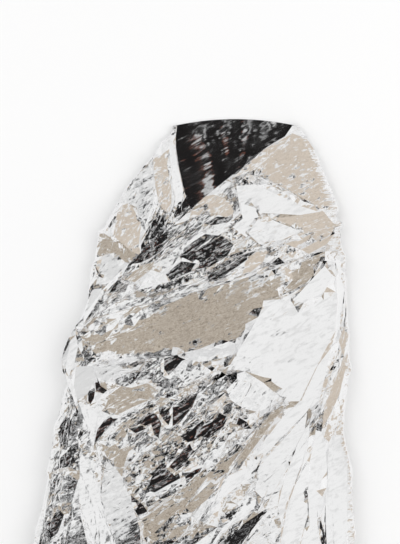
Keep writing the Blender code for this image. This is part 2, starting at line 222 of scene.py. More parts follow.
# Creases on the folds: from x, y, middle x, y, to x, y, half width, height, lean to one side
RIGHT_FLAP_CREASES = [
    (0.184, 0.625, 0.018, 0.491, -0.191, 0.292, 0.0047, 0.0032, 0.3),
    (0.144, 0.592, 0.000, 0.470, -0.169, 0.304, 0.0043, 0.0026, -0.2),
    (0.130, 0.571, 0.018, 0.473, -0.126, 0.355, 0.0047, 0.0030, 0.3),
    (0.108, 0.542, 0.029, 0.470, -0.072, 0.394, 0.0043, -0.0030, 0),
    (0.140, 0.491, 0.076, 0.466, 0.011, 0.423, 0.0047, 0.0040, 0.3),
    (0.162, 0.470, 0.090, 0.445, 0.025, 0.405, 0.0047, 0.0040, -0.3),
    (0.151, 0.434, 0.076, 0.405, 0.000, 0.365, 0.0047, 0.0040, 0.3),
    (0.130, 0.405, 0.047, 0.380, -0.054, 0.337, 0.0043, 0.0030, 0),
    (-0.189, 0.272, -0.072, 0.326, 0.065, 0.371, 0.0054, 0.0060, 0.5),
    (0.065, 0.371, 0.155, 0.401, 0.238, 0.414, 0.0054, 0.0050, 0.5),
    (-0.180, 0.254, -0.108, 0.283, -0.054, 0.297, 0.0043, 0.0025, 0),
    (0.108, 0.405, 0.180, 0.445, 0.252, 0.466, 0.0061, 0.0050, 0.4),
    (0.130, 0.427, 0.198, 0.468, 0.266, 0.488, 0.0061, 0.0050, -0.4),
    (0.173, 0.452, 0.216, 0.464, 0.256, 0.455, 0.0054, 0.0040, 0),
    (0.086, 0.508, 0.144, 0.535, 0.216, 0.542, 0.0072, 0.0050, 0.4),
    (0.108, 0.560, 0.155, 0.542, 0.198, 0.517, 0.0054, 0.0040, 0.3),
    (0.140, 0.607, 0.130, 0.571, 0.101, 0.535, 0.0047, 0.0030, 0),
    (0.130, 0.337, 0.184, 0.355, 0.230, 0.391, 0.0054, 0.0040, 0.4),
    (0.155, 0.304, 0.198, 0.337, 0.234, 0.344, 0.0054, 0.0040, -0.4),
    (0.119, 0.243, 0.155, 0.283, 0.198, 0.304, 0.0054, 0.0030, 0),
    (-0.167, 0.085, -0.090, 0.139, -0.025, 0.185, 0.0061, 0.0060, 0.4),
    (-0.025, 0.182, 0.029, 0.205, 0.079, 0.229, 0.0054, 0.0050, 0.4),
    (-0.162, 0.218, -0.090, 0.214, -0.025, 0.232, 0.0054, 0.0050, -0.4),
    (-0.144, 0.031, -0.054, 0.081, 0.029, 0.153, 0.0065, 0.0070, 0.5),
    (0.029, 0.153, 0.083, 0.182, 0.130, 0.203, 0.0054, 0.0060, 0.3),
    (-0.155, 0.142, -0.115, 0.160, -0.072, 0.164, 0.0047, 0.0040, 0),
    (-0.072, 0.009, -0.014, 0.049, 0.032, 0.092, 0.0058, 0.0060, 0.4),
    (0.032, 0.092, 0.065, 0.121, 0.094, 0.153, 0.0054, 0.0050, -0.3),
    (-0.108, -0.027, -0.025, 0.011, 0.050, 0.056, 0.0061, 0.0060, 0.5),
    (0.050, 0.056, 0.101, 0.095, 0.140, 0.139, 0.0065, 0.0070, 0.4),
    (-0.126, 0.074, -0.072, 0.103, -0.032, 0.149, 0.0047, 0.0040, 0),
    (-0.054, 0.110, -0.011, 0.139, 0.018, 0.164, 0.0047, -0.0040, 0),
    (-0.122, -0.059, -0.054, -0.038, 0.011, 0.013, 0.0054, 0.0040, 0.2),
    (-0.025, -0.085, 0.018, -0.045, 0.047, -0.009, 0.0061, 0.0060, 0.4),
    (0.047, -0.009, 0.076, 0.045, 0.130, 0.128, 0.0072, 0.0080, 0.5),
    (0.130, 0.128, 0.169, 0.207, 0.238, 0.337, 0.0090, 0.0080, 0.4),
    (0.112, 0.196, 0.058, 0.103, -0.025, -0.023, 0.0047, 0.0040, 0.2),
    (0.173, 0.185, 0.097, 0.077, 0.014, -0.063, 0.0054, 0.0060, 0.4),
    (0.281, 0.243, 0.220, 0.121, 0.130, -0.023, 0.0061, 0.0060, 0.4),
    (0.279, 0.236, 0.241, 0.121, 0.184, 0.009, 0.0054, 0.0050, -0.3),
    (0.281, 0.337, 0.256, 0.193, 0.194, 0.074, 0.0054, 0.0050, 0.4),
    (0.252, 0.207, 0.202, 0.103, 0.122, 0.009, 0.0050, 0.0040, 0.2),
    (0.090, -0.023, 0.058, -0.077, 0.018, -0.131, 0.0054, 0.0050, 0),
    (0.140, 0.016, 0.108, -0.059, 0.076, -0.131, 0.0054, 0.0050, 0.3),
    (0.198, 0.049, 0.176, -0.023, 0.155, -0.124, 0.0054, 0.0050, 0.3),
    (0.277, 0.355, 0.272, 0.265, 0.266, 0.157, 0.0054, 0.0015, 0),
    (0.265, 0.121, 0.252, 0.031, 0.257, -0.103, 0.0054, 0.0040, 0.3),
    (0.227, -0.023, 0.234, -0.070, 0.248, -0.131, 0.0054, 0.0050, 0.3),
    (-0.191, 0.193, -0.167, 0.085, -0.137, 0.023, 0.0054, 0.0040, 0.3),
    (-0.191, 0.031, -0.167, -0.045, -0.148, -0.142, 0.0061, 0.0060, 0.4),
    (-0.162, -0.023, -0.140, -0.077, -0.119, -0.142, 0.0054, 0.0040, 0),
]

LEFT_FLAP_CREASES = [
    (-0.140, 0.427, -0.119, 0.484, -0.090, 0.538, 0.0047, 0.0040, 0.3),
    (-0.155, 0.448, -0.140, 0.477, -0.119, 0.506, 0.0047, 0.0040, 0),
    (-0.119, 0.416, -0.090, 0.470, -0.061, 0.535, 0.0047, 0.0040, -0.3),
    (-0.086, 0.434, -0.061, 0.491, -0.047, 0.567, 0.0047, 0.0040, 0.3),
    (-0.068, 0.452, -0.040, 0.517, -0.029, 0.607, 0.0043, 0.0040, -0.3),
    (-0.043, 0.466, -0.025, 0.524, -0.022, 0.589, 0.0040, 0.0030, 0),
    (-0.025, 0.470, -0.007, 0.495, 0.007, 0.506, 0.0040, 0.0030, 0),
    (-0.180, 0.355, -0.158, 0.394, -0.122, 0.419, 0.0047, 0.0030, 0.3),
    (-0.191, 0.297, -0.176, 0.337, -0.155, 0.365, 0.0047, 0.0030, 0),
    (-0.223, 0.265, -0.216, 0.232, -0.205, 0.203, 0.0043, 0.0030, 0),
    (-0.220, 0.182, -0.209, 0.157, -0.187, 0.135, 0.0047, 0.0030, 0),
    (-0.198, 0.185, -0.216, 0.103, -0.230, -0.023, 0.0050, 0.0040, 0.3),
    (-0.209, 0.157, -0.227, 0.067, -0.248, -0.077, 0.0047, 0.0030, -0.3),
    (-0.241, 0.038, -0.252, -0.023, -0.263, -0.103, 0.0047, 0.0030, 0),
]

# Flat facets of film: centre x, y, half length, half width, angle, lean to +x, lean to +y, edge
RIGHT_FLAP_FACETS = [
    (0.043, 0.310, 0.241, 0.061, 18, 0, -0.27, 0.2),
    (-0.045, -0.052, 0.112, 0.043, 30, 0, -0.16, 0.3),
    (0.194, 0.218, 0.079, 0.119, -12, 0.1, 0.02, 0.4),
    (-0.094, 0.391, 0.058, 0.016, 32, 0, -0.07, 0.3),
    (0.158, 0.499, 0.076, 0.029, 15, 0.1, 0.02, 0.4),
    (0.140, -0.059, 0.054, 0.018, 50, -0.1, 0, 0.3),
    (0.130, 0.067, 0.083, 0.025, 52, 0.16, 0, 0.3),
    (0.090, -0.023, 0.072, 0.022, 48, 0.16, 0.02, 0.3),
    (-0.214, 0.241, 0.038, 0.016, 80, -0.26, 0, 0.3),
]

LEFT_FLAP_FACETS = [
    (-0.140, 0.373, 0.043, 0.025, 60, -0.1, 0.1, 0.3),
    (-0.223, 0.085, 0.032, 0.108, -10, 0.08, 0, 0.3),
]

# Flat panels between the creases: the studio's tone that each one mirrors, crumple amount, corners x, y
RIGHT_FLAP_PANELS = [
    ("mottle", 0.70, (-0.166, 0.088), (-0.126, 0.128), (-0.072, 0.160), (-0.007, 0.185), (0.065, 0.207),
     (0.108, 0.193), (0.130, 0.157), (0.108, 0.113), (0.072, 0.067), (0.029, 0.034), (-0.025, 0.002),
     (-0.072, -0.023), (-0.115, -0.038), (-0.140, -0.009), (-0.155, 0.038)),
    ("mottle", 0.60, (-0.191, 0.290), (-0.162, 0.337), (-0.119, 0.380), (-0.072, 0.423), (-0.054, 0.427),
     (-0.072, 0.394), (-0.112, 0.362), (-0.155, 0.326), (-0.176, 0.301)),
    ("mottle", 0.60, (-0.054, 0.427), (-0.007, 0.477), (0.040, 0.517), (0.076, 0.542), (0.090, 0.538),
     (0.083, 0.509), (0.043, 0.477), (0.011, 0.452), (-0.025, 0.430)),
    ("mottle", 0.60, (-0.090, 0.355), (-0.036, 0.369), (0.018, 0.391), (0.043, 0.405), (0.090, 0.423),
     (0.130, 0.434), (0.108, 0.416), (0.065, 0.398), (0.029, 0.383), (-0.018, 0.362), (-0.072, 0.347)),
    ("mottle", 0.70, (-0.108, 0.113), (-0.054, 0.149), (0.000, 0.171), (0.065, 0.207), (0.076, 0.185),
     (0.029, 0.157), (-0.011, 0.131), (-0.054, 0.095), (-0.090, 0.070), (-0.108, 0.085)),
    ("mottle", 0.70, (-0.115, 0.045), (-0.072, 0.074), (-0.025, 0.103), (0.029, 0.139), (0.076, 0.182),
     (0.083, 0.153), (0.043, 0.113), (0.000, 0.081), (-0.047, 0.045), (-0.090, 0.009), (-0.115, 0.013)),
    ("mottle", 0.60, (-0.191, 0.261), (-0.173, 0.263), (-0.162, 0.247), (-0.151, 0.229), (-0.173, 0.220),
     (-0.187, 0.229)),
    ("mottle", 0.60, (-0.140, 0.221), (-0.090, 0.232), (-0.043, 0.239), (-0.036, 0.218), (-0.011, 0.196),
     (-0.025, 0.164), (-0.072, 0.171), (-0.108, 0.193), (-0.133, 0.193)),
    ("tan", 0.26, (-0.198, 0.279), (-0.169, 0.304), (-0.090, 0.326), (0.000, 0.349), (0.090, 0.374),
     (0.180, 0.403), (0.238, 0.423), (0.238, 0.407), (0.216, 0.378), (0.180, 0.342), (0.137, 0.304),
     (0.094, 0.257), (0.061, 0.221), (0.043, 0.211), (0.018, 0.229), (0.000, 0.236), (-0.054, 0.243),
     (-0.108, 0.236), (-0.155, 0.229), (-0.169, 0.243), (-0.166, 0.261), (-0.191, 0.268)),
    ("tan", 0.24, (0.198, 0.405), (0.238, 0.423), (0.238, 0.407), (0.216, 0.378), (0.180, 0.342),
     (0.158, 0.329), (0.166, 0.355), (0.191, 0.383)),
    ("grey", 0.55, (-0.191, 0.290), (-0.162, 0.315), (-0.072, 0.344), (0.065, 0.378), (0.065, 0.367),
     (0.000, 0.351), (-0.090, 0.328), (-0.169, 0.306), (-0.194, 0.281)),
    ("dark", 0.28, (-0.108, 0.400), (-0.087, 0.434), (-0.046, 0.457), (-0.030, 0.453), (-0.057, 0.419),
     (-0.084, 0.404)),
    ("dark", 0.28, (-0.143, 0.349), (-0.128, 0.372), (-0.086, 0.395), (-0.055, 0.418), (-0.067, 0.395),
     (-0.093, 0.380), (-0.124, 0.353)),
    ("dark", 0.28, (-0.017, 0.415), (0.028, 0.454), (0.059, 0.450), (0.078, 0.435), (0.067, 0.415),
     (0.036, 0.396), (-0.002, 0.389)),
    ("dark", 0.28, (-0.041, 0.383), (-0.014, 0.406), (0.012, 0.402), (0.001, 0.387), (-0.033, 0.372)),
    ("dark", 0.28, (0.037, 0.445), (0.011, 0.426), (-0.008, 0.430), (0.014, 0.445)),
    ("dark", 0.28, (0.026, 0.473), (0.050, 0.485), (0.077, 0.483), (0.069, 0.475), (0.039, 0.469)),
    ("dark", 0.28, (0.078, 0.479), (0.103, 0.483), (0.105, 0.475), (0.082, 0.473)),
    ("dark", 0.28, (0.069, 0.466), (0.096, 0.464), (0.087, 0.461), (0.073, 0.463)),
    ("dark", 0.25, (0.091, 0.555), (0.103, 0.549), (0.107, 0.540), (0.099, 0.541)),
    ("dark", 0.25, (0.107, 0.548), (0.123, 0.538), (0.134, 0.527), (0.126, 0.529), (0.111, 0.538)),
    ("dark", 0.25, (0.111, 0.458), (0.122, 0.450), (0.136, 0.437), (0.130, 0.439), (0.117, 0.448)),
    ("dark", 0.28, (0.031, 0.386), (0.060, 0.405), (0.102, 0.420), (0.144, 0.430), (0.140, 0.420),
     (0.102, 0.409), (0.075, 0.390), (0.048, 0.371), (0.035, 0.373)),
    ("dark", 0.28, (0.143, 0.401), (0.157, 0.413), (0.168, 0.403), (0.155, 0.399)),
    ("dark", 0.13, (-0.044, 0.235), (-0.021, 0.242), (-0.013, 0.231), (-0.025, 0.217), (-0.036, 0.206),
     (-0.044, 0.217)),
    ("dark", 0.10, (-0.179, 0.159), (-0.177, 0.179), (-0.171, 0.189), (-0.167, 0.175), (-0.169, 0.163),
     (-0.175, 0.153)),
    ("dark", 0.10, (-0.167, 0.200), (-0.157, 0.186), (-0.145, 0.178), (-0.152, 0.172), (-0.165, 0.178)),
    ("dark", 0.10, (-0.213, 0.156), (-0.203, 0.152), (-0.197, 0.140), (-0.205, 0.142)),
    ("dark", 0.10, (-0.168, 0.081), (-0.162, 0.109), (-0.150, 0.125), (-0.130, 0.136), (-0.121, 0.133),
     (-0.140, 0.117), (-0.156, 0.097)),
    ("dark", 0.13, (-0.106, 0.112), (-0.082, 0.118), (-0.076, 0.112), (-0.094, 0.104)),
    ("dark", 0.12, (-0.085, 0.121), (-0.071, 0.141), (-0.057, 0.137), (-0.049, 0.121), (-0.053, 0.096),
     (-0.061, 0.101), (-0.067, 0.121), (-0.077, 0.117)),
    ("dark", 0.12, (-0.052, 0.139), (-0.032, 0.151), (-0.028, 0.143), (-0.036, 0.119), (-0.044, 0.127)),
    ("dark", 0.13, (-0.029, 0.150), (-0.011, 0.154), (0.001, 0.166), (0.015, 0.174), (0.005, 0.150),
     (-0.015, 0.125), (-0.029, 0.117)),
    ("dark", 0.13, (-0.010, 0.097), (0.014, 0.120), (0.042, 0.142), (0.054, 0.142), (0.034, 0.109),
     (0.010, 0.093), (-0.002, 0.089)),
    ("dark", 0.13, (0.011, 0.111), (0.040, 0.125), (0.052, 0.141), (0.068, 0.133), (0.060, 0.117),
     (0.032, 0.097), (0.015, 0.101)),
    ("dark", 0.13, (-0.076, 0.006), (-0.064, 0.031), (-0.039, 0.051), (-0.015, 0.067), (-0.023, 0.047),
     (-0.015, 0.027), (-0.039, 0.014), (-0.060, 0.002)),
    ("dark", 0.13, (-0.035, 0.047), (-0.015, 0.071), (0.001, 0.087), (0.007, 0.075), (-0.007, 0.051),
     (-0.023, 0.039)),
    ("dark", 0.13, (-0.007, 0.030), (0.011, 0.042), (0.023, 0.046), (0.011, 0.026), (-0.005, 0.018)),
    ("dark", 0.13, (-0.156, -0.004), (-0.144, 0.004), (-0.136, -0.008), (-0.142, -0.029), (-0.154, -0.033)),
    ("dark", 0.13, (-0.122, -0.008), (-0.102, -0.004), (-0.081, -0.020), (-0.073, -0.032),
     (-0.089, -0.040), (-0.102, -0.020)),
    ("dark", 0.13, (-0.142, -0.038), (-0.126, -0.022), (-0.114, -0.010), (-0.118, -0.030),
     (-0.130, -0.050), (-0.146, -0.054)),
    ("dark", 0.13, (0.161, -0.016), (0.181, -0.004), (0.193, -0.000), (0.185, -0.012), (0.169, -0.024),
     (0.157, -0.036)),
    ("dark", 0.13, (0.226, -0.045), (0.234, -0.057), (0.240, -0.081), (0.242, -0.105), (0.230, -0.105)),
    ("dark", 0.13, (0.087, 0.133), (0.101, 0.125), (0.109, 0.113), (0.097, 0.113), (0.083, 0.121)),
    ("dark", 0.13, (0.158, 0.160), (0.170, 0.168), (0.178, 0.160), (0.170, 0.152), (0.154, 0.148)),
    ("tan", 0.20, (-0.115, 0.373), (-0.086, 0.398), (-0.061, 0.405), (-0.068, 0.391), (-0.097, 0.369)),
    ("tan", 0.20, (0.011, 0.517), (0.043, 0.524), (0.083, 0.511), (0.090, 0.495), (0.065, 0.484),
     (0.029, 0.495)),
    ("tan", 0.20, (0.029, 0.502), (0.018, 0.488), (0.000, 0.481), (0.004, 0.495)),
    ("tan", 0.15, (0.079, 0.538), (0.104, 0.535), (0.130, 0.524), (0.115, 0.513), (0.090, 0.517)),
    ("tan", 0.20, (0.099, 0.405), (0.122, 0.425), (0.140, 0.427), (0.130, 0.405), (0.108, 0.387),
     (0.094, 0.383)),
    ("tan", 0.15, (0.130, 0.491), (0.198, 0.488), (0.238, 0.495), (0.259, 0.470), (0.248, 0.445),
     (0.220, 0.437), (0.187, 0.455), (0.173, 0.473), (0.144, 0.481)),
    ("tan", 0.15, (0.119, 0.455), (0.148, 0.457), (0.169, 0.463), (0.166, 0.452), (0.140, 0.441)),
    ("tan", 0.15, (0.169, 0.437), (0.198, 0.445), (0.216, 0.455), (0.212, 0.445), (0.187, 0.430)),
    ("tan", 0.15, (0.198, 0.427), (0.234, 0.445), (0.259, 0.455), (0.245, 0.437), (0.212, 0.419)),
    ("tan", 0.24, (0.076, 0.553), (0.130, 0.603), (0.184, 0.635), (0.203, 0.628), (0.229, 0.589),
     (0.248, 0.545), (0.263, 0.502), (0.223, 0.506), (0.191, 0.524), (0.144, 0.549), (0.122, 0.571)),
    ("tan", 0.45, (-0.148, 0.149), (-0.140, 0.171), (-0.119, 0.187), (-0.101, 0.184), (-0.072, 0.193),
     (-0.058, 0.182), (-0.076, 0.160), (-0.101, 0.149), (-0.126, 0.135), (-0.140, 0.135)),
    ("tan", 0.45, (-0.155, 0.085), (-0.140, 0.079), (-0.130, 0.085), (-0.119, 0.074), (-0.106, 0.072),
     (-0.112, 0.056), (-0.119, 0.027), (-0.131, 0.045), (-0.144, 0.059)),
    ("tan", 0.20, (0.036, 0.153), (0.058, 0.171), (0.072, 0.193), (0.086, 0.196), (0.068, 0.171),
     (0.047, 0.142), (0.029, 0.131)),
    ("tan", 0.20, (0.122, 0.131), (0.148, 0.146), (0.173, 0.157), (0.158, 0.139), (0.133, 0.121)),
    ("tan", 0.30, (-0.112, -0.059), (-0.072, -0.038), (-0.025, -0.005), (0.011, 0.031), (0.029, 0.045),
     (0.036, 0.034), (0.011, 0.002), (-0.025, -0.034), (-0.061, -0.070), (-0.097, -0.088)),
    ("tan", 0.30, (-0.007, -0.023), (0.029, 0.013), (0.047, 0.031), (0.054, 0.023), (0.032, -0.009),
     (0.004, -0.034)),
    ("tan", 0.30, (0.029, 0.031), (0.058, 0.063), (0.083, 0.088), (0.097, 0.085), (0.076, 0.056),
     (0.047, 0.023)),
    ("tan", 0.25, (0.119, 0.113), (0.155, 0.157), (0.176, 0.171), (0.158, 0.142), (0.130, 0.103),
     (0.101, 0.063), (0.083, 0.041), (0.090, 0.070)),
    ("tan", 0.15, (0.238, 0.149), (0.252, 0.182), (0.270, 0.221), (0.275, 0.236), (0.277, 0.211),
     (0.266, 0.171), (0.248, 0.135), (0.234, 0.113)),
    ("tan", 0.15, (0.266, 0.265), (0.277, 0.290), (0.281, 0.265), (0.274, 0.236)),
    ("tan", 0.20, (0.209, 0.085), (0.223, 0.113), (0.234, 0.121), (0.223, 0.095), (0.209, 0.070)),
    ("white", 0.05, (0.083, 0.538), (0.115, 0.542), (0.155, 0.524), (0.191, 0.506), (0.227, 0.495),
     (0.198, 0.488), (0.130, 0.491), (0.104, 0.477), (0.090, 0.491), (0.086, 0.517)),
    ("white", 0.10, (0.090, 0.509), (0.119, 0.499), (0.130, 0.459), (0.101, 0.448), (0.076, 0.466),
     (0.094, 0.481)),
    ("white", 0.12, (0.119, 0.477), (0.162, 0.473), (0.198, 0.459), (0.166, 0.445), (0.122, 0.437),
     (0.104, 0.455)),
    ("white", 0.10, (0.067, 0.218), (0.092, 0.259), (0.121, 0.308), (0.144, 0.329), (0.176, 0.347),
     (0.209, 0.365), (0.234, 0.405), (0.259, 0.405), (0.263, 0.337), (0.259, 0.283), (0.227, 0.225),
     (0.194, 0.160), (0.166, 0.160), (0.130, 0.193), (0.097, 0.214)),
    ("white", 0.04, (0.198, 0.160), (0.227, 0.221), (0.252, 0.254), (0.238, 0.193), (0.209, 0.142),
     (0.166, 0.099), (0.130, 0.063), (0.108, 0.045), (0.130, 0.088), (0.162, 0.128)),
    ("white", 0.08, (0.182, 0.337), (0.216, 0.374), (0.239, 0.398), (0.254, 0.380), (0.238, 0.351),
     (0.202, 0.333)),
    ("white", 0.25, (0.065, 0.182), (0.097, 0.214), (0.130, 0.193), (0.166, 0.164), (0.151, 0.153),
     (0.119, 0.142), (0.094, 0.149), (0.072, 0.164)),
    ("white", 0.15, (-0.169, 0.218), (-0.140, 0.225), (-0.112, 0.221), (-0.079, 0.229), (-0.090, 0.214),
     (-0.126, 0.207), (-0.148, 0.193), (-0.162, 0.200)),
    ("white", 0.10, (0.068, 0.031), (0.101, 0.045), (0.126, 0.063), (0.119, 0.045), (0.090, 0.016),
     (0.061, -0.005), (0.047, -0.023), (0.029, -0.052), (0.018, -0.045), (0.043, -0.005)),
    ("white", 0.12, (0.058, -0.059), (0.090, -0.034), (0.119, -0.009), (0.122, -0.023), (0.090, -0.049),
     (0.072, -0.070), (0.050, -0.103), (0.029, -0.103)),
    ("white", 0.40, (0.137, -0.031), (0.169, -0.016), (0.173, -0.059), (0.155, -0.103), (0.090, -0.103),
     (0.115, -0.067)),
    ("mottle", 0.50, (0.050, -0.085), (0.076, -0.056), (0.094, -0.045), (0.083, -0.070), (0.072, -0.106),
     (0.047, -0.106)),
    ("dark", 0.13, (0.058, -0.106), (0.074, -0.079), (0.095, -0.054), (0.133, -0.029), (0.115, -0.058),
     (0.097, -0.081), (0.081, -0.106)),
    ("white", 0.10, (0.209, -0.045), (0.229, -0.045), (0.230, -0.103), (0.193, -0.103)),
    ("white", 0.10, (0.212, 0.103), (0.230, 0.085), (0.223, 0.013), (0.209, -0.041), (0.191, -0.103),
     (0.158, -0.103), (0.166, -0.059), (0.173, -0.023), (0.194, 0.031)),
    ("white", 0.12, (0.115, 0.005), (0.122, 0.045), (0.169, 0.095), (0.209, 0.139), (0.202, 0.099),
     (0.180, 0.049), (0.158, 0.005), (0.133, -0.013)),
    ("white", 0.08, (0.191, 0.085), (0.212, 0.121), (0.209, 0.077), (0.191, 0.031), (0.169, -0.023),
     (0.162, -0.059), (0.155, -0.023), (0.169, 0.031)),
    ("white", 0.08, (0.227, 0.121), (0.241, 0.085), (0.245, 0.013), (0.230, -0.045), (0.212, -0.059),
     (0.209, -0.005), (0.216, 0.067)),
    ("white", 0.12, (0.248, 0.085), (0.277, 0.103), (0.281, 0.013), (0.279, -0.103), (0.243, -0.103),
     (0.241, -0.023)),
    ("white", 0.22, (-0.148, 0.056), (-0.122, 0.031), (-0.101, -0.016), (-0.086, -0.059), (-0.083, -0.103),
     (-0.119, -0.103), (-0.140, -0.059), (-0.155, -0.005)),
    ("white", 0.18, (-0.193, 0.070), (-0.169, 0.031), (-0.155, -0.016), (-0.140, -0.059), (-0.122, -0.103),
     (-0.162, -0.103), (-0.187, -0.041), (-0.202, 0.013)),
    ("white", 0.05, (-0.223, 0.207), (-0.212, 0.265), (-0.202, 0.275), (-0.198, 0.254), (-0.205, 0.225),
     (-0.216, 0.200)),
    ("white", 0.06, (-0.202, 0.218), (-0.173, 0.218), (-0.166, 0.200), (-0.180, 0.171), (-0.198, 0.160),
     (-0.205, 0.185)),
    ("white", 0.08, (-0.198, 0.157), (-0.176, 0.149), (-0.162, 0.135), (-0.166, 0.099), (-0.184, 0.121)),
]

LEFT_FLAP_PANELS = [
    ("white", 0.05, (-0.223, 0.265), (-0.209, 0.272), (-0.202, 0.247), (-0.205, 0.211), (-0.212, 0.193),
     (-0.234, 0.196), (-0.234, 0.236)),
    ("tan", 0.26, (-0.135, 0.452), (-0.128, 0.495), (-0.115, 0.517), (-0.101, 0.502), (-0.086, 0.473),
     (-0.090, 0.437), (-0.086, 0.416), (-0.101, 0.423), (-0.119, 0.437)),
    ("tan", 0.26, (-0.065, 0.589), (-0.050, 0.596), (-0.040, 0.578), (-0.032, 0.535), (-0.032, 0.509),
     (-0.043, 0.495), (-0.054, 0.509), (-0.061, 0.545)),
    ("tan", 0.10, (-0.079, 0.578), (-0.068, 0.596), (-0.065, 0.599), (-0.068, 0.581)),
    ("white", 0.16, (-0.169, 0.355), (-0.155, 0.416), (-0.130, 0.423), (-0.101, 0.405), (-0.115, 0.383),
     (-0.148, 0.365)),
    ("white", 0.40, (-0.122, 0.517), (-0.097, 0.556), (-0.072, 0.581), (-0.065, 0.560), (-0.065, 0.509),
     (-0.079, 0.470), (-0.094, 0.502)),
    ("white", 0.08, (-0.036, 0.607), (-0.029, 0.621), (-0.011, 0.531), (-0.014, 0.495), (-0.025, 0.517),
     (-0.032, 0.560)),
    ("tan", 0.30, (-0.157, 0.459), (-0.140, 0.448), (-0.115, 0.416), (-0.104, 0.401), (-0.115, 0.405),
     (-0.140, 0.427), (-0.155, 0.445)),
    ("dark", 0.28, (-0.077, 0.459), (-0.065, 0.478), (-0.046, 0.489), (-0.042, 0.463), (-0.054, 0.444),
     (-0.069, 0.432)),
    ("dark", 0.28, (-0.026, 0.483), (-0.015, 0.506), (-0.003, 0.525), (0.001, 0.506), (-0.011, 0.491)),
    ("dark", 0.15, (-0.170, 0.402), (-0.162, 0.387), (-0.154, 0.376), (-0.162, 0.379)),
    ("white", 0.06, (-0.184, 0.337), (-0.173, 0.355), (-0.155, 0.362), (-0.169, 0.326), (-0.187, 0.297),
     (-0.198, 0.283)),
    ("mottle", 0.60, (-0.191, 0.182), (-0.184, 0.139), (-0.191, 0.085), (-0.200, 0.034), (-0.220, 0.043),
     (-0.245, 0.031), (-0.227, 0.103), (-0.209, 0.171)),
    ("mottle", 0.60, (-0.198, 0.016), (-0.209, -0.023), (-0.223, -0.106), (-0.270, -0.106),
     (-0.256, -0.041), (-0.245, 0.027), (-0.220, 0.031)),
    ("dark", 0.30, (-0.234, 0.106), (-0.220, 0.131), (-0.209, 0.117), (-0.216, 0.085), (-0.230, 0.074)),
    ("dark", 0.30, (-0.230, 0.056), (-0.216, 0.070), (-0.205, 0.063), (-0.216, 0.041), (-0.230, 0.038)),
    ("dark", 0.30, (-0.248, -0.059), (-0.234, -0.034), (-0.223, -0.045), (-0.234, -0.077),
     (-0.248, -0.088)),
]

# Where the film is crumpled: centre x, y, half length, half width, angle, amount
RIGHT_FLAP_CRUMPLE = [
    (0.032, 0.306, 0.227, 0.065, 18, 0.06),
    (-0.090, 0.380, 0.126, 0.025, 38, 0.8),
    (0.045, 0.430, 0.079, 0.036, 28, 0.9),
    (0.130, 0.580, 0.054, 0.047, 0, 0.7),
    (0.198, 0.553, 0.054, 0.079, -10, 0.55),
    (0.169, 0.506, 0.079, 0.029, 15, 0.25),
    (0.198, 0.448, 0.083, 0.047, 15, 0.75),
    (0.176, 0.256, 0.097, 0.166, -12, 0.05),
    (-0.054, 0.103, 0.173, 0.101, 30, 1),
    (-0.144, 0.247, 0.072, 0.029, 17, 0.6),
    (-0.045, -0.052, 0.112, 0.054, 30, 0.65),
    (0.144, 0.085, 0.047, 0.108, -35, 0.4),
    (0.227, 0.031, 0.043, 0.126, -5, 0.12),
    (0.130, -0.059, 0.090, 0.047, 50, 0.35),
    (0.252, 0.157, 0.025, 0.108, -8, 0.35),
    (-0.162, -0.059, 0.029, 0.072, 0, 0.5),
    (-0.214, 0.241, 0.040, 0.020, 80, 0.08),
]

LEFT_FLAP_CRUMPLE = [
    (-0.072, 0.535, 0.108, 0.108, 0, 0.55),
    (-0.036, 0.466, 0.043, 0.032, 30, 1),
    (-0.148, 0.391, 0.036, 0.061, -30, 0.2),
    (-0.220, 0.243, 0.022, 0.047, 0, 0.08),
    (-0.223, 0.103, 0.029, 0.072, -15, 1),
    (-0.234, -0.041, 0.036, 0.072, -10, 0.9),
    (-0.191, -0.023, 0.025, 0.108, -10, 0.25),
]

# Where the right flap is drawn smooth: centre x, y, half length, half width, angle, share of folds kept
RIGHT_FLAP_CALM = [
    (0.036, 0.308, 0.230, 0.065, 18, 0.06),
    (0.171, 0.261, 0.072, 0.130, -12, 0.3),
    (-0.054, 0.103, 0.173, 0.101, 30, 0.55),
    (-0.007, -0.023, 0.072, 0.025, 33, 0.6),
    (-0.040, 0.405, 0.133, 0.061, 36, 0.5),
    (0.130, -0.023, 0.119, 0.086, 45, 0.35),
    (0.216, 0.013, 0.054, 0.119, 0, 0.4),
]

CRUMPLE_BASE = 0.35
LOWER_CRUMPLE = 1.0
SHARP_ANGLE = math.radians(3.5)

# Where the film mirrors each tone of the studio: how far the mirrored ray leans along x and y.
TONE_PLACES = {
    "dark": [(0.0, 0.0), (-0.10, 0.03), (0.08, -0.04)],
    "mottle": [(-0.36, 0.06), (-0.26, 0.18), (-0.08, 0.22), (0.16, 0.12), (0.12, -0.14), (-0.24, -0.12)],
    "tan": [(-0.55, -0.53), (-0.30, -0.53), (-0.05, -0.53), (0.20, -0.53), (0.38, 0.42), (0.50, 0.48)],
    "white": [(0.52, 0.12), (0.54, -0.10), (0.62, 0.05), (0.02, 0.54), (-0.16, 0.54), (-0.74, 0.06),
              (-0.72, -0.14), (-0.40, 0.50)],
    "grey": [(-0.50, 0.28), (0.36, -0.28), (-0.40, -0.24)],
}


def smoothstep(t):
    t = np.clip(t, 0.0, 1.0)
    return t * t * (3.0 - 2.0 * t)


def soft_max(a, b):
    return 0.5 * (a + b + np.sqrt((a - b) ** 2 + SOFT_MAX ** 2))


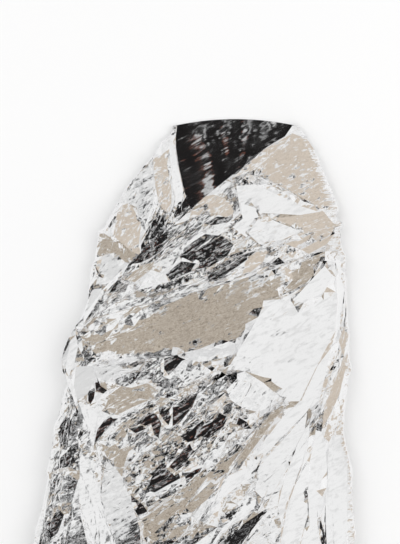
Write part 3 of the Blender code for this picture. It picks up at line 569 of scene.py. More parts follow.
def along(table, y, column):
    """A column of a table at y, on a smooth curve through the rows."""
    rows = np.array(table)[::-1]
    ys, values = rows[:, 0], rows[:, column]
    slopes = np.gradient(values, ys)
    y = np.clip(y, ys[0], ys[-1])
    i = np.clip(np.searchsorted(ys, y, side="right") - 1, 0, len(ys) - 2)
    h = ys[i + 1] - ys[i]
    t = (y - ys[i]) / h
    t2, t3 = t * t, t * t * t
    return ((2 * t3 - 3 * t2 + 1) * values[i] + (t3 - 2 * t2 + t) * h * slopes[i]
            + (3 * t2 - 2 * t3) * values[i + 1] + (t3 - t2) * h * slopes[i + 1])


def dice(i, j, seed):
    """A fixed random number from -1 to 1 for each whole-numbered cell."""
    n = (i.astype(np.int64) * 374761393 + j.astype(np.int64) * 668265263 + seed * 1442695041) & 0x7FFFFFFF
    n = ((n ^ (n >> 13)) * 1274126177) & 0x7FFFFFFF
    n = ((n ^ (n >> 15)) * 2246822519) & 0x7FFFFFFF
    n = n ^ (n >> 14)
    return (n & 0xFFFFF) / float(0xFFFFF) * 2.0 - 1.0


def soft_noise(u, v, seed):
    i, j = np.floor(u), np.floor(v)
    a, b = smoothstep(u - i), smoothstep(v - j)
    low = dice(i, j, seed) * (1 - a) + dice(i + 1, j, seed) * a
    high = dice(i, j + 1, seed) * (1 - a) + dice(i + 1, j + 1, seed) * a
    return low * (1 - b) + high * b


def fold_height(folds, x, y):
    """The summed height of a table of folds at plan points x, y."""
    total = np.zeros_like(x)
    for x0, y0, x1, y1, x2, y2, half_width, height in folds:
        reach = half_width * 4.0
        near = ((x > min(x0, x1, x2) - reach) & (x < max(x0, x1, x2) + reach)
                & (y > min(y0, y1, y2) - reach) & (y < max(y0, y1, y2) + reach))
        if not near.any():
            continue
        px, py = x[near], y[near]
        t = np.linspace(0.0, 1.0, 17)
        bend_x = 2.0 * x1 - 0.5 * (x0 + x2)
        bend_y = 2.0 * y1 - 0.5 * (y0 + y2)
        curve_x = (1 - t) ** 2 * x0 + 2 * t * (1 - t) * bend_x + t * t * x2
        curve_y = (1 - t) ** 2 * y0 + 2 * t * (1 - t) * bend_y + t * t * y2
        nearest = np.full_like(px, 9.0)
        place = np.zeros_like(px)
        for k in range(len(t) - 1):
            dx, dy = curve_x[k + 1] - curve_x[k], curve_y[k + 1] - curve_y[k]
            s = np.clip(((px - curve_x[k]) * dx + (py - curve_y[k]) * dy) / (dx * dx + dy * dy), 0.0, 1.0)
            d = np.hypot(px - curve_x[k] - s * dx, py - curve_y[k] - s * dy)
            closer = d < nearest
            nearest = np.where(closer, d, nearest)
            place = np.where(closer, t[k] + s / (len(t) - 1), place)
        taper = smoothstep(place / 0.22) * smoothstep((1.0 - place) / 0.22)
        profile = np.exp(-(nearest / half_width) ** 2.0)
        total[near] += height * taper * profile
    return total


def capped_folds(folds, x, y):
    return FOLD_LIMIT * np.tanh(fold_height(folds, x, y) / FOLD_LIMIT)


def oval(x, y, centre_x, centre_y, half_length, half_width, angle):
    turn = math.radians(angle)
    dx, dy = x - centre_x, y - centre_y
    u = (dx * math.cos(turn) + dy * math.sin(turn)) / half_length
    v = (dy * math.cos(turn) - dx * math.sin(turn)) / half_width
    return np.hypot(u, v)


def facet_height(facets, x, y):
    total = np.zeros_like(x)
    for centre_x, centre_y, half_length, half_width, angle, lean_x, lean_y, edge in facets:
        reach = oval(x, y, centre_x, centre_y, half_length, half_width, angle)
        reach = reach + 0.12 * soft_noise(x / 0.02, y / 0.02, 5)
        inside = 1.0 - smoothstep((reach - 1.0 + edge) / (2.0 * edge))
        total -= inside * (lean_x * (x - centre_x) + lean_y * (y - centre_y))
    return total


def crumple_amount(regions, x, y, base):
    amount = np.full_like(x, base)
    for centre_x, centre_y, half_length, half_width, angle, strength in regions:
        reach = oval(x, y, centre_x, centre_y, half_length, half_width, angle)
        reach = reach + 0.15 * soft_noise(x / 0.025, y / 0.025, 9)
        inside = 1.0 - smoothstep((reach - 0.75) / 0.4)
        amount = amount + (strength - amount) * inside
    return amount


def mound(w):
    w = np.clip(w, 0.0, 1.0)
    return 1.0 - np.abs(2.0 * w - 1.0) ** MOUND_POWER


def roll_top(radius):
    return radius * (1.0 + math.sin(ROLL_END_ANGLE)) + MIDDLE_HEIGHT


def body_height(x, y, radius, rise, start):
    left, right = along(OUTLINE, y, 1), along(OUTLINE, y, 4)
    return roll_top(radius) + rise * (mound((x - left) / (right - left))
                                      - mound((start - left) / (right - left)))


def film_amount(regions, x, y):
    base = np.where(y < UPPER_END, LOWER_CRUMPLE, CRUMPLE_BASE)
    return crumple_amount(regions, x, y, base)


def left_start(y):
    return along(OUTLINE, y, 1) + along(BODY, y, 2) * (1.0 - math.cos(ROLL_END_ANGLE))


def right_start(y):
    return along(OUTLINE, y, 4) - along(BODY, y, 3) * (1.0 - math.cos(ROLL_END_ANGLE))


def left_base(x, y):
    start = left_start(y)
    rise = along(BODY, y, 1) * LEFT_RISE_SHARE
    height = body_height(x, y, along(BODY, y, 2), rise, start)
    return height + smoothstep((x - start) / FOLD_RAMP) * capped_folds(LEFT_FLAP_FOLDS, x, y)


def left_surface(x, y):
    ramp = smoothstep((x - left_start(y)) / FACET_RAMP)
    return left_base(x, y) + ramp * facet_height(LEFT_FLAP_FACETS, x, y)


def right_surface(x, y):
    left_edge, right_edge = along(OUTLINE, y, 2), along(OUTLINE, y, 3)
    start = right_start(y)
    own = body_height(x, y, along(BODY, y, 3), along(BODY, y, 1), start)
    under = left_base(x, y) + LAYER_GAP
    cover = smoothstep((left_edge + OVERLAP_FADE - x) / OVERLAP_FADE)
    lift = smoothstep((x - right_edge) / EDGE_BLEND)
    near_edge = own + (np.minimum(under, own) - own) * (1.0 - lift)
    ramp = smoothstep((start - x) / FOLD_RAMP)
    keep = crumple_amount(RIGHT_FLAP_CALM, x, y, 1.0)
    folded = near_edge + ramp * keep * capped_folds(RIGHT_FLAP_FOLDS, x, y)
    folded = folded + cover * (soft_max(folded, under) - folded)
    return folded + smoothstep((start - x) / FACET_RAMP) * facet_height(RIGHT_FLAP_FACETS, x, y)


def back_surface(x, y):
    left, right = along(OUTLINE, y, 1), along(OUTLINE, y, 4)
    inside = (smoothstep((x - left - BACK_MARGIN) / BACK_FADE)
              * smoothstep((right - BACK_MARGIN - x) / BACK_FADE))
    return MIDDLE_HEIGHT + inside * np.maximum(capped_folds(BACK_FOLDS, x, y), 0.0)


def edge_shift(layer, across, y):
    """How far a point moves along y, near the neck edge and the hem only."""
    size, waves, phase = HEM_WAVES[layer]
    hem = smoothstep((HEM_Y + EDGE_REACH - y) / EDGE_REACH)
    shift = hem * size * np.sin(waves * across + phase)
    if layer == "back":
        neck = smoothstep((y - NECK_Y + EDGE_REACH) / EDGE_REACH)
        shift = shift + NECK_BOW * neck * 4.0 * across * (1.0 - across)
    return shift


def inside_outline(x, y, corners):
    """Whether each point lies inside a closed outline."""
    inside = np.zeros(x.shape, dtype=bool)
    for (x0, y0), (x1, y1) in zip(corners, np.roll(corners, -1, axis=0)):
        if y0 == y1:
            continue
        crosses = (y0 > y) != (y1 > y)
        inside ^= crosses & (x < x0 + (y - y0) * (x1 - x0) / (y1 - y0))
    return inside


def distance_to_lines(x, y, lines):
    """How far each point is from the nearest of some straight lines."""
    nearest = np.full(x.shape, 9.0)
    for x0, y0, x1, y1 in lines:
        dx, dy = x1 - x0, y1 - y0
        s = np.clip(((x - x0) * dx + (y - y0) * dy) / max(dx * dx + dy * dy, 1e-12), 0.0, 1.0)
        nearest = np.minimum(nearest, np.hypot(x - x0 - s * dx, y - y0 - s * dy))
    return nearest


def triangulate(points, edges, grain):
    """Triangles between points that keep to the edges and run long with the grain, and each one's source."""
    turn = math.radians(grain)
    cos, sin = math.cos(turn), math.sin(turn)
    drawn = np.stack([(points[:, 0] * cos + points[:, 1] * sin) / FACET_STRETCH,
                      points[:, 1] * cos - points[:, 0] * sin], axis=1)
    found, _, faces, sources, _, _ = delaunay_2d_cdt(
        [Vector(p) for p in drawn.tolist()], [tuple(e) for e in edges], [], 0, 1e-6, True)
    found = np.array([tuple(v) for v in found])
    u, v = found[:, 0] * FACET_STRETCH, found[:, 1]
    placed = np.stack([u * cos - v * sin, u * sin + v * cos], axis=1)
    source = np.array([ids[0] if ids else -1 for ids in sources])
    placed[source >= 0] = points[source[source >= 0]]
    return placed, np.array([tuple(f) for f in faces]), source


def scatter(low, high, spacing, grain, seed):
    """Loose rows of points over a box, further apart along the grain."""
    rng = np.random.default_rng(seed)
    turn = math.radians(grain)
    cos, sin = math.cos(turn), math.sin(turn)
    reach = math.hypot(high[0] - low[0], high[1] - low[1]) / 2
    across = np.arange(-reach, reach, spacing * 0.87)
    count = int(2 * reach / (spacing * FACET_STRETCH)) + 1
    rows, columns = np.meshgrid(np.arange(len(across)), np.arange(count), indexing="ij")
    u = -reach + (columns + 0.5 * (rows % 2)) * spacing * FACET_STRETCH
    v = across[rows]
    u = u + rng.uniform(-0.33, 0.33, u.shape) * spacing * FACET_STRETCH
    v = v + rng.uniform(-0.33, 0.33, v.shape) * spacing
    x = (low[0] + high[0]) / 2 + u * cos - v * sin
    y = (low[1] + high[1]) / 2 + u * sin + v * cos
    keep = (x > low[0]) & (x < high[0]) & (y > low[1]) & (y < high[1])
    return np.stack([x[keep], y[keep]], axis=1)


def crease_lines(creases):
    """Each crease as its top line and two foot lines, pointed at both ends."""
    lines = []
    for x0, y0, x1, y1, x2, y2, half_width, height, lean in creases:
        length = math.hypot(x2 - x0, y2 - y0)
        t = np.linspace(0.0, 1.0, max(4, int(length / 0.022)))
        bend_x, bend_y = 2.0 * x1 - 0.5 * (x0 + x2), 2.0 * y1 - 0.5 * (y0 + y2)
        x = (1 - t) ** 2 * x0 + 2 * t * (1 - t) * bend_x + t * t * x2
        y = (1 - t) ** 2 * y0 + 2 * t * (1 - t) * bend_y + t * t * y2
        along_x, along_y = np.gradient(x), np.gradient(y)
        scale = np.hypot(along_x, along_y)
        width = half_width * np.minimum(1.0, 2.5 * np.minimum(t, 1.0 - t)) / scale
        for side in (-1.0 - lean, 1.0 - lean):
            lines.append((np.stack([x - along_y * width * side, y + along_x * width * side], axis=1),
                          np.zeros(len(t))))
        ends = np.minimum(1.0, 4.0 * np.minimum(t, 1.0 - t))
        top = height * ends * (0.8 + 0.2 * np.cos(9.0 * t + x0 * 90.0))
        lines.append((np.stack([x, y], axis=1), top))
    return lines


def own_slope(x, y, surface):
    step = SLOPE_STEP
    return ((surface(x + step, y) - surface(x - step, y))[0] / (2 * step),
            (surface(x, y + step) - surface(x, y - step))[0] / (2 * step))


def tone_slope(tone, x, y, slope_x, slope_y):
    """The slope nearest to the film's own that mirrors a tone of the studio at this place."""
    size = math.sqrt(1.0 + slope_x ** 2 + slope_y ** 2)
    view_x, view_y = (x - CAMERA_PLACE[0]) / CAMERA_PLACE[2], (y - CAMERA_PLACE[1]) / CAMERA_PLACE[2]
    own = (-2.0 * slope_x / size + view_x, -2.0 * slope_y / size + view_y)
    goal = min(TONE_PLACES[tone], key=lambda place: math.hypot(place[0] - own[0], place[1] - own[1]))
    lean_x, lean_y = (goal[0] - view_x) / 2.0, (goal[1] - view_y) / 2.0
    upright = math.sqrt(1.0 - lean_x ** 2 - lean_y ** 2)
    return -lean_x / upright, -lean_y / upright


def panel_planes(panels, surface):
    """Each panel's outline, crumple and plane: its middle and its slope along x and y."""
    planes = []
    for tone, crumple, *corners in panels:
        corners = np.array(corners)
        middle = corners.mean(axis=0)
        x, y = middle[:1], middle[1:]
        own_x, own_y = own_slope(x, y, surface)
        slope_x, slope_y = tone_slope(tone, x[0], y[0], own_x, own_y)
        stiff = np.ptp(corners, axis=0).max() < STIFF_PANEL
        if not stiff:
            change = math.hypot(slope_x - own_x, slope_y - own_y)
            share = min(1.0, LARGEST_CHANGE / max(change, 1e-6))
            slope_x, slope_y = (slope_x - own_x) * share, (slope_y - own_y) * share
        planes.append((corners, crumple, middle, surface(x, y)[0] if stiff else None, slope_x, slope_y))
    return planes


def on_panels(planes, x, y, own, height, amount):
    """Heights and crumple amounts with the panels pressed in, small ones flat and large ones bent."""
    pressed = np.zeros(x.shape, dtype=bool)
    height, amount = height.copy(), amount.copy()
    for corners, crumple, middle, level, slope_x, slope_y in planes:
        low, high = corners.min(axis=0) - PANEL_SLACK, corners.max(axis=0) + PANEL_SLACK
        near = np.flatnonzero((x > low[0]) & (x < high[0]) & (y > low[1]) & (y < high[1]))
        lines = np.hstack([corners, np.roll(corners, -1, axis=0)])
        inside = inside_outline(x[near], y[near], corners)
        inside |= distance_to_lines(x[near], y[near], lines) < PANEL_SLACK
        near = near[inside]
        start = own[near] if level is None else level
        height[near] = start + slope_x * (x[near] - middle[0]) + slope_y * (y[near] - middle[1])
        amount[near] = crumple
        pressed[near] = True
    return height, amount, pressed


def large_net(outline, creases, planes, surface, amount_at, grain, seed):
    """The large facets: points, triangles, how far each point stands off the surface, and the rim's points."""
    points, edges, lift, fixed = [], [], [], []

    def add_line(line, tops, closed):
        first = sum(len(p) for p in points)
        points.append(line)
        lift.append(tops)
        fixed.append(np.ones(len(line), dtype=bool))
        count = len(line)
        edges.extend((first + k, first + (k + 1) % count) for k in range(count if closed else count - 1))

    add_line(outline, np.zeros(len(outline)), True)
    for line, tops in crease_lines(creases):
        add_line(line, tops, False)
    for corners, *_ in planes:
        add_line(corners, np.zeros(len(corners)), True)
    placed = np.concatenate(points)
    lines = np.array([[*placed[a], *placed[b]] for a, b in edges])
    loose = scatter(outline.min(axis=0), outline.max(axis=0), LARGE_FACET, grain, seed)
    loose = loose[inside_outline(loose[:, 0], loose[:, 1], outline)]
    loose = loose[distance_to_lines(loose[:, 0], loose[:, 1], lines) > PANEL_CLEARANCE]
    rng = np.random.default_rng(seed + 1)
    loose_lift = rng.uniform(-1.0, 1.0, len(loose)) * LARGE_HEIGHT * amount_at(loose[:, 0], loose[:, 1])
    points.append(loose)
    lift.append(loose_lift)
    points, faces, source = triangulate(np.concatenate(points), edges, grain)
    lift = np.where(source >= 0, np.concatenate(lift)[source], 0.0)
    x, y = points.T
    own = surface(x, y)
    height, _, pressed = on_panels(planes, x, y, own, own, own)
    lift = np.where(pressed, height - own, lift)
    middle = points[faces].mean(axis=1)
    faces = faces[inside_outline(middle[:, 0], middle[:, 1], outline)]
    rows = len(edge_rows())
    rim = (source >= len(outline) // 2) & (source < len(outline) // 2 + rows)
    return points, faces, lift, rim


def split_net(points, faces, lift, rim, outline, spacing_at, surface, planes, amount_at, grain, seed):
    """Each large facet split into small ones of about the wanted size, with their heights."""
    x, y = points.T
    base = surface(x, y)
    middle = points[faces].mean(axis=1)
    spacing = spacing_at(middle[:, 0], middle[:, 1])
    sides = np.sort(np.stack([faces, np.roll(faces, -1, axis=1)], axis=2).reshape(-1, 2), axis=1)
    pairs, which = np.unique(sides, axis=0, return_inverse=True)
    pair_spacing = np.full(len(pairs), 9.0)
    np.minimum.at(pair_spacing, which.reshape(-1), np.repeat(spacing, 3))
    new_points, weights, edges = [points], [np.stack([np.arange(len(points)), np.arange(len(points)),
                                                     np.ones(len(points)), np.zeros(len(points))], axis=1)], []
    count = len(points)
    for (a, b), gap in zip(pairs, pair_spacing):
        parts = 1 if rim[a] and rim[b] else max(1, int(round(np.hypot(*(points[a] - points[b])) / gap)))
        t = np.arange(1, parts)[:, None] / parts
        new_points.append(points[a] * (1 - t) + points[b] * t)
        weights.append(np.hstack([np.full_like(t, a), np.full_like(t, b), 1 - t, t]))
        chain = [a, *range(count, count + parts - 1), b]
        edges.extend(zip(chain[:-1], chain[1:]))
        count += parts - 1
    edge_points = np.concatenate(new_points)
    edge_weights = np.concatenate(weights)
    a, b = edge_weights[:, 0].astype(int), edge_weights[:, 1].astype(int)
    straight = edge_weights[:, 2] * base[a] + edge_weights[:, 3] * base[b]
    raised = edge_weights[:, 2] * lift[a] + edge_weights[:, 3] * lift[b]
    loose_points, loose_straight, loose_raised = [edge_points], [straight], [raised]
    sizes = sorted(set(spacing.tolist()))
    for size in sizes:
        cloud = scatter(outline.min(axis=0), outline.max(axis=0), size, grain, seed)
        order = np.argsort(cloud[:, 0])
        cloud = cloud[order]
        for face in faces[spacing == size]:
            corner = points[face]
            low = np.searchsorted(cloud[:, 0], corner[:, 0].min())
            high = np.searchsorted(cloud[:, 0], corner[:, 0].max())
            near = cloud[low:high]
            near = near[(near[:, 1] > corner[:, 1].min()) & (near[:, 1] < corner[:, 1].max())]
            if not len(near):
                continue
            side_a, side_b = corner[1] - corner[0], corner[2] - corner[0]
            double_area = side_a[0] * side_b[1] - side_a[1] * side_b[0]
            if abs(double_area) < 1e-9:
                continue
            rel = near - corner[0]
            wb = (rel[:, 0] * side_b[1] - rel[:, 1] * side_b[0]) / double_area
            wc = (side_a[0] * rel[:, 1] - side_a[1] * rel[:, 0]) / double_area
            wa = 1.0 - wb - wc
            opposite = np.array([np.hypot(*(corner[2] - corner[1])), np.hypot(*side_b), np.hypot(*side_a)])
            margin = 0.38 * size * opposite / abs(double_area)
            keep = (wa > margin[0]) & (wb > margin[1]) & (wc > margin[2])
            loose_points.append(near[keep])
            own = np.stack([wa, wb, wc], axis=1)[keep]
            loose_straight.append(own @ base[face])
            loose_raised.append(own @ lift[face])
    every = np.concatenate(loose_points)
    straight = np.concatenate(loose_straight)
    raised = np.concatenate(loose_raised)
    placed, small, source = triangulate(every, edges, grain)
    known = source >= 0
    rim = known & (source < len(rim)) & rim[np.clip(source, 0, len(rim) - 1)]
    x, y = placed.T
    own = surface(x, y)
    straight = np.where(known, straight[source], own)
    raised = np.where(known, raised[source], 0.0)
    amount = amount_at(x, y)
    height = own + STRAIGHTEN * (straight - own) + raised
    height, amount, _ = on_panels(planes, x, y, own, height, amount)
    rng = np.random.default_rng(seed + 1)
    height = height + rng.uniform(-1.0, 1.0, len(height)) * SMALL_HEIGHT * amount
    middle = placed[small].mean(axis=1)
    small = small[inside_outline(middle[:, 0], middle[:, 1], outline)]
    return placed, small, height, amount, rim


def halve_net(points, faces, height, amount, rim, seed):
    """Each small facet split into four."""
    sides = np.sort(np.stack([faces, np.roll(faces, -1, axis=1)], axis=2), axis=2)
    pairs, which, uses = np.unique(sides.reshape(-1, 2), axis=0, return_inverse=True, return_counts=True)
    a, b = pairs.T
    rng = np.random.default_rng(seed)
    middle = (points[a] + points[b]) / 2
    middle_amount = (amount[a] + amount[b]) / 2
    middle_height = (height[a] + height[b]) / 2 + rng.uniform(-1, 1, len(a)) * FINE_HEIGHT * middle_amount
    m = which.reshape(-1, 3) + len(points)
    p, q, r = faces.T
    u, v, w = m.T
    quarters = np.concatenate([np.stack(k, axis=1) for k in ((p, u, w), (u, q, v), (w, v, r), (u, v, w))])
    return (np.concatenate([points, middle]), quarters, np.concatenate([height, middle_height]),
            np.concatenate([amount, middle_amount]), np.concatenate([rim, (uses == 1) & rim[a] & rim[b]]))


def edge_rows():
    """Heights along the blanket where the flaps' long edges have their points."""
    return np.linspace(NECK_Y, HEM_Y, 66)


def flap_outline(near_edge, far_edge):
    """The closed outline of a flap and its roll, as cut, in the flap's own plane."""
    y = edge_rows()
    across = np.linspace(0.0, 1.0, 24)[1:-1]
    near, far = near_edge(y), far_edge(y)
    neck = np.stack([near[0] + (far[0] - near[0]) * across, np.full_like(across, y[0])], axis=1)
    hem = np.stack([far[-1] + (near[-1] - far[-1]) * across, np.full_like(across, y[-1])], axis=1)
    return np.concatenate([np.stack([near, y], axis=1)[::-1], neck, np.stack([far, y], axis=1), hem])


def flap(side):
    """One flap with the roll at its outer side: points in space, triangles and crumple amounts."""
    left = side == "left"
    sign = -1.0 if left else 1.0
    start = left_start if left else right_start
    radius_column = 2 if left else 3
    near_column = 2 if left else 3
    outer_column = 1 if left else 4
    turn = ROLL_END_ANGLE + math.pi / 2
    creases = LEFT_FLAP_CREASES if left else RIGHT_FLAP_CREASES
    panels = LEFT_FLAP_PANELS if left else RIGHT_FLAP_PANELS
    regions = LEFT_FLAP_CRUMPLE if left else RIGHT_FLAP_CRUMPLE
    flap_surface = left_surface if left else right_surface
    grain = GRAIN[side]
    seed = 40 if left else 80

    def far_edge(y):
        return start(y) + sign * along(BODY, y, radius_column) * turn

    def surface(x, y):
        beyond = np.maximum(sign * (x - start(y)), 0.0)
        return flap_surface(x - sign * beyond, y)

    def amount_at(x, y):
        amount = film_amount(regions, x, y)
        if left:
            covered = smoothstep((x - along(OUTLINE, y, 3) - COVER_START) / COVER_FADE)
            amount = amount * (1.0 - COVER_CALM * covered)
        beyond = sign * (x - start(y)) / (along(BODY, y, radius_column) * turn)
        return amount * (1.0 - smoothstep((beyond - ROLL_CALM_FROM) / ROLL_CALM_FADE))

    def spacing_at(x, y):
        size = np.where(film_amount(regions, x, y) < CALM_BELOW, CALM_FACET, SMALL_FACET)
        plain = y < UPPER_END - PLAIN_MARGIN
        if left:
            plain |= x > along(OUTLINE, y, 3) + PLAIN_MARGIN
        beyond = sign * (x - start(y)) / along(BODY, y, radius_column)
        size = np.where(beyond > ROLL_NEAR, SMALL_FACET, size)
        return np.where(plain | (beyond > ROLL_FAR), HIDDEN_FACET, size)

    outline = flap_outline(lambda y: along(OUTLINE, y, near_column), far_edge)
    planes = panel_planes(panels, surface)
    points, faces, lift, rim = large_net(outline, creases, planes, surface, amount_at, grain, seed)
    points, faces, height, amount, rim = split_net(points, faces, lift, rim, outline, spacing_at, surface,
                                                   planes, amount_at, grain, seed + 10)
    points, faces, height, amount, rim = halve_net(points, faces, height, amount, rim, seed + 20)
    x, y = points.T
    radius = along(BODY, y, radius_column)
    beyond = np.maximum(sign * (x - start(y)), 0.0)
    level = surface(x, y)
    angle = ROLL_END_ANGLE - beyond / radius
    outer = along(OUTLINE, y, outer_column)
    proud = (height - level) * smoothstep((turn - beyond / radius) / ROLL_SMOOTH_ANGLE)
    on_roll = beyond > 0.0
    centre_x, centre_z = outer - sign * radius, radius + MIDDLE_HEIGHT
    place_x = np.where(on_roll, centre_x + sign * (radius + proud) * np.cos(angle), x)
    place_z = np.where(on_roll, centre_z + (radius + proud) * np.sin(angle), height)
    across = np.clip((x - start(y)) / (along(OUTLINE, y, near_column) - start(y)), 0.0, 1.0)
    place_y = y + edge_shift(side, across, y)
    return np.stack([place_x, place_y, np.maximum(place_z, MIDDLE_HEIGHT)], axis=1), faces, amount, rim


def lay_over(upper, lower, lower_faces):
    """The upper layer's points, raised where they would sink into the layer below."""
    below = BVHTree.FromPolygons([tuple(p) for p in lower.tolist()], lower_faces.tolist())
    for point in upper:
        hit = below.ray_cast(Vector((point[0], point[1], 1.0)), Vector((0.0, 0.0, -1.0)))[0]
        sunk = hit is not None and point[2] < hit.z + LAYER_TOUCH
        if sunk and point[0] < along(OUTLINE, point[1], 4) - ROLL_MARGIN:
            point[2] = hit.z + LAYER_TOUCH
    return upper


def press_under(lower, upper, upper_faces):
    """The lower layer's points, pressed down where they would stand up through the layer above."""
    above = BVHTree.FromPolygons([tuple(p) for p in upper.tolist()], upper_faces.tolist())
    for point in lower:
        hit = above.ray_cast(Vector((point[0], point[1], 1.0)), Vector((0.0, 0.0, -1.0)))[0]
        if hit is not None and point[2] > hit.z - LAYER_TOUCH:
            point[2] = max(hit.z - LAYER_TOUCH, MIDDLE_HEIGHT + LAYER_TOUCH)
    return lower


def whole_sheet():
    """The film in one piece: left flap and roll, back, right roll and flap."""
    left, left_faces, left_amount, left_rim = flap("left")
    right, right_faces, right_amount, right_rim = flap("right")
    covered = left_start(left[:, 1]) + COVERED_FROM < left[:, 0]
    left[covered] = press_under(left[covered], right, right_faces)
    right = lay_over(right, left, left_faces)
    spare = TOP_HEIGHT - TOP_EASE
    z = right[:, 2]
    right[:, 2] = np.where(z > TOP_EASE, TOP_EASE + spare * np.tanh((z - TOP_EASE) / spare), z)
    first = np.flatnonzero(left_rim)
    first = first[np.argsort(-left[first, 1])]
    last = np.flatnonzero(right_rim)
    last = last[np.argsort(-right[last, 1])]
    if len(first) != len(last):
        raise RuntimeError(f"The flaps meet the back at {len(first)} and {len(last)} points")
    t = np.linspace(0.0, 1.0, BACK_COLUMNS)[None, 1:-1]
    start, end = left[first], right[last]
    x = start[:, :1] + (end[:, :1] - start[:, :1]) * t
    rows = (start[:, 1:2] + end[:, 1:2]) / 2
    y = rows + edge_shift("back", t, rows + 0.0 * t) - edge_shift("back", 0.0, rows + 0.0 * t)
    z = back_surface(x, rows + 0.0 * x)
    back = np.stack([x, y, z], axis=2)
    offset = len(left)
    behind = offset + len(right)
    inner = behind + np.arange(back.shape[0] * back.shape[1]).reshape(back.shape[:2])
    index = np.concatenate([first[:, None], inner, last[:, None] + offset], axis=1)
    quads = np.stack([index[:-1, :-1], index[:-1, 1:], index[1:, 1:], index[1:, :-1]], axis=2).reshape(-1, 4)
    points = np.concatenate([left, right, back.reshape(-1, 3)])
    amount = np.concatenate([left_amount, right_amount, np.full(back.shape[0] * back.shape[1], BACK_CRUMPLE)])
    points[:, 0] += CENTRE_SHIFT_X
    points[:, 1] += CENTRE_SHIFT_Y
    faces = [tuple(f) for part in (left_faces, right_faces + offset, quads) for f in part]
    return points, faces, amount, behind


def add_socket(tree, name, kind, value=None, output=False):
    socket = tree.interface.new_socket(name=name, in_out="OUTPUT" if output else "INPUT", socket_type=kind)
    if value is not None:
        socket.default_value = value
    return socket


def math_node(tree, operation, first, second):
    node = tree.nodes.new("ShaderNodeMath")
    node.operation = operation
    for socket, value in zip(node.inputs, (first, second)):
        if isinstance(value, (int, float)):
            socket.default_value = value
        else:
            tree.links.new(value, socket)
    return node.outputs[0]


def vector_node(tree, operation, first, second=None, scale=None):
    node = tree.nodes.new("ShaderNodeVectorMath")
    node.operation = operation
    for socket, value in zip(node.inputs, (first, second)):
        if value is None:
            continue
        if isinstance(value, tuple):
            socket.default_value = value
        else:
            tree.links.new(value, socket)
    if scale is not None:
        if isinstance(scale, (int, float)):
            node.inputs["Scale"].default_value = scale
        else:
            tree.links.new(scale, node.inputs["Scale"])
    return node.outputs[0]


def leaning_group(name, smooth):
    """Small flat facets of film, each leaning its own way, or soft ripples."""
    tree = bpy.data.node_groups.get(name)
    if tree:
        return tree
    tree = bpy.data.node_groups.new(name, "ShaderNodeTree")
    add_socket(tree, "Normal", "NodeSocketVector")
    add_socket(tree, "Facet Size", "NodeSocketFloat", 0.006)
    add_socket(tree, "Stretch", "NodeSocketFloat", 2.0)
    add_socket(tree, "Direction", "NodeSocketFloat", 0.6)
    add_socket(tree, "Lean", "NodeSocketFloat", 0.3)
    add_socket(tree, "Normal", "NodeSocketVector", output=True)
    entry = tree.nodes.new("NodeGroupInput")
    leave = tree.nodes.new("NodeGroupOutput")
    place = tree.nodes.new("ShaderNodeTexCoord")
    turn = tree.nodes.new("ShaderNodeVectorRotate")
    turn.rotation_type = "Z_AXIS"
    tree.links.new(place.outputs["Object"], turn.inputs["Vector"])
    tree.links.new(math_node(tree, "MULTIPLY", entry.outputs["Direction"], -1.0), turn.inputs["Angle"])
    squeeze = tree.nodes.new("ShaderNodeCombineXYZ")
    tree.links.new(math_node(tree, "DIVIDE", 1.0, entry.outputs["Stretch"]), squeeze.inputs["X"])
    squeeze.inputs["Y"].default_value = 1.0
    squeeze.inputs["Z"].default_value = 1.0
    drawn = vector_node(tree, "MULTIPLY", turn.outputs["Vector"], squeeze.outputs["Vector"])
    cells = vector_node(tree, "SCALE", drawn, scale=math_node(tree, "DIVIDE", 1.0, entry.outputs["Facet Size"]))
    drift = tree.nodes.new("ShaderNodeTexNoise")
    drift.inputs["Scale"].default_value = 0.35
    drift.inputs["Detail"].default_value = 2.0
    tree.links.new(cells, drift.inputs["Vector"])
    bend = vector_node(tree, "SCALE", vector_node(tree, "SUBTRACT", drift.outputs["Color"], (0.5, 0.5, 0.5)),
                       scale=2.5)
    net = tree.nodes.new("ShaderNodeTexNoise" if smooth else "ShaderNodeTexVoronoi")
    net.inputs["Scale"].default_value = 1.0
    tree.links.new(vector_node(tree, "ADD", cells, bend), net.inputs["Vector"])
    lean = vector_node(tree, "SUBTRACT", net.outputs["Color"], (0.5, 0.5, 0.5))
    lean = vector_node(tree, "SCALE", lean, scale=entry.outputs["Lean"])
    tilted = vector_node(tree, "ADD", entry.outputs["Normal"], lean)
    tree.links.new(vector_node(tree, "NORMALIZE", tilted), leave.inputs["Normal"])
    return tree


def haze_group():
    """Faint cloudy wear: how matt the film is, and how bright."""
    tree = bpy.data.node_groups.get("film_haze")
    if tree:
        return tree
    tree = bpy.data.node_groups.new("film_haze", "ShaderNodeTree")
    add_socket(tree, "Size", "NodeSocketFloat", 30.0)
    add_socket(tree, "Least", "NodeSocketFloat", 0.06)
    add_socket(tree, "Most", "NodeSocketFloat", 0.16)
    add_socket(tree, "Value", "NodeSocketFloat", output=True)
    entry = tree.nodes.new("NodeGroupInput")
    leave = tree.nodes.new("NodeGroupOutput")
    place = tree.nodes.new("ShaderNodeTexCoord")
    cloud = tree.nodes.new("ShaderNodeTexNoise")
    cloud.inputs["Detail"].default_value = 4.0
    tree.links.new(place.outputs["Object"], cloud.inputs["Vector"])
    tree.links.new(entry.outputs["Size"], cloud.inputs["Scale"])
    spread = tree.nodes.new("ShaderNodeMapRange")
    tree.links.new(cloud.outputs["Fac"], spread.inputs["Value"])
    spread.inputs["From Min"].default_value = 0.3
    spread.inputs["From Max"].default_value = 0.7
    tree.links.new(entry.outputs["Least"], spread.inputs["To Min"])
    tree.links.new(entry.outputs["Most"], spread.inputs["To Max"])
    tree.links.new(spread.outputs["Result"], leave.inputs["Value"])
    return tree


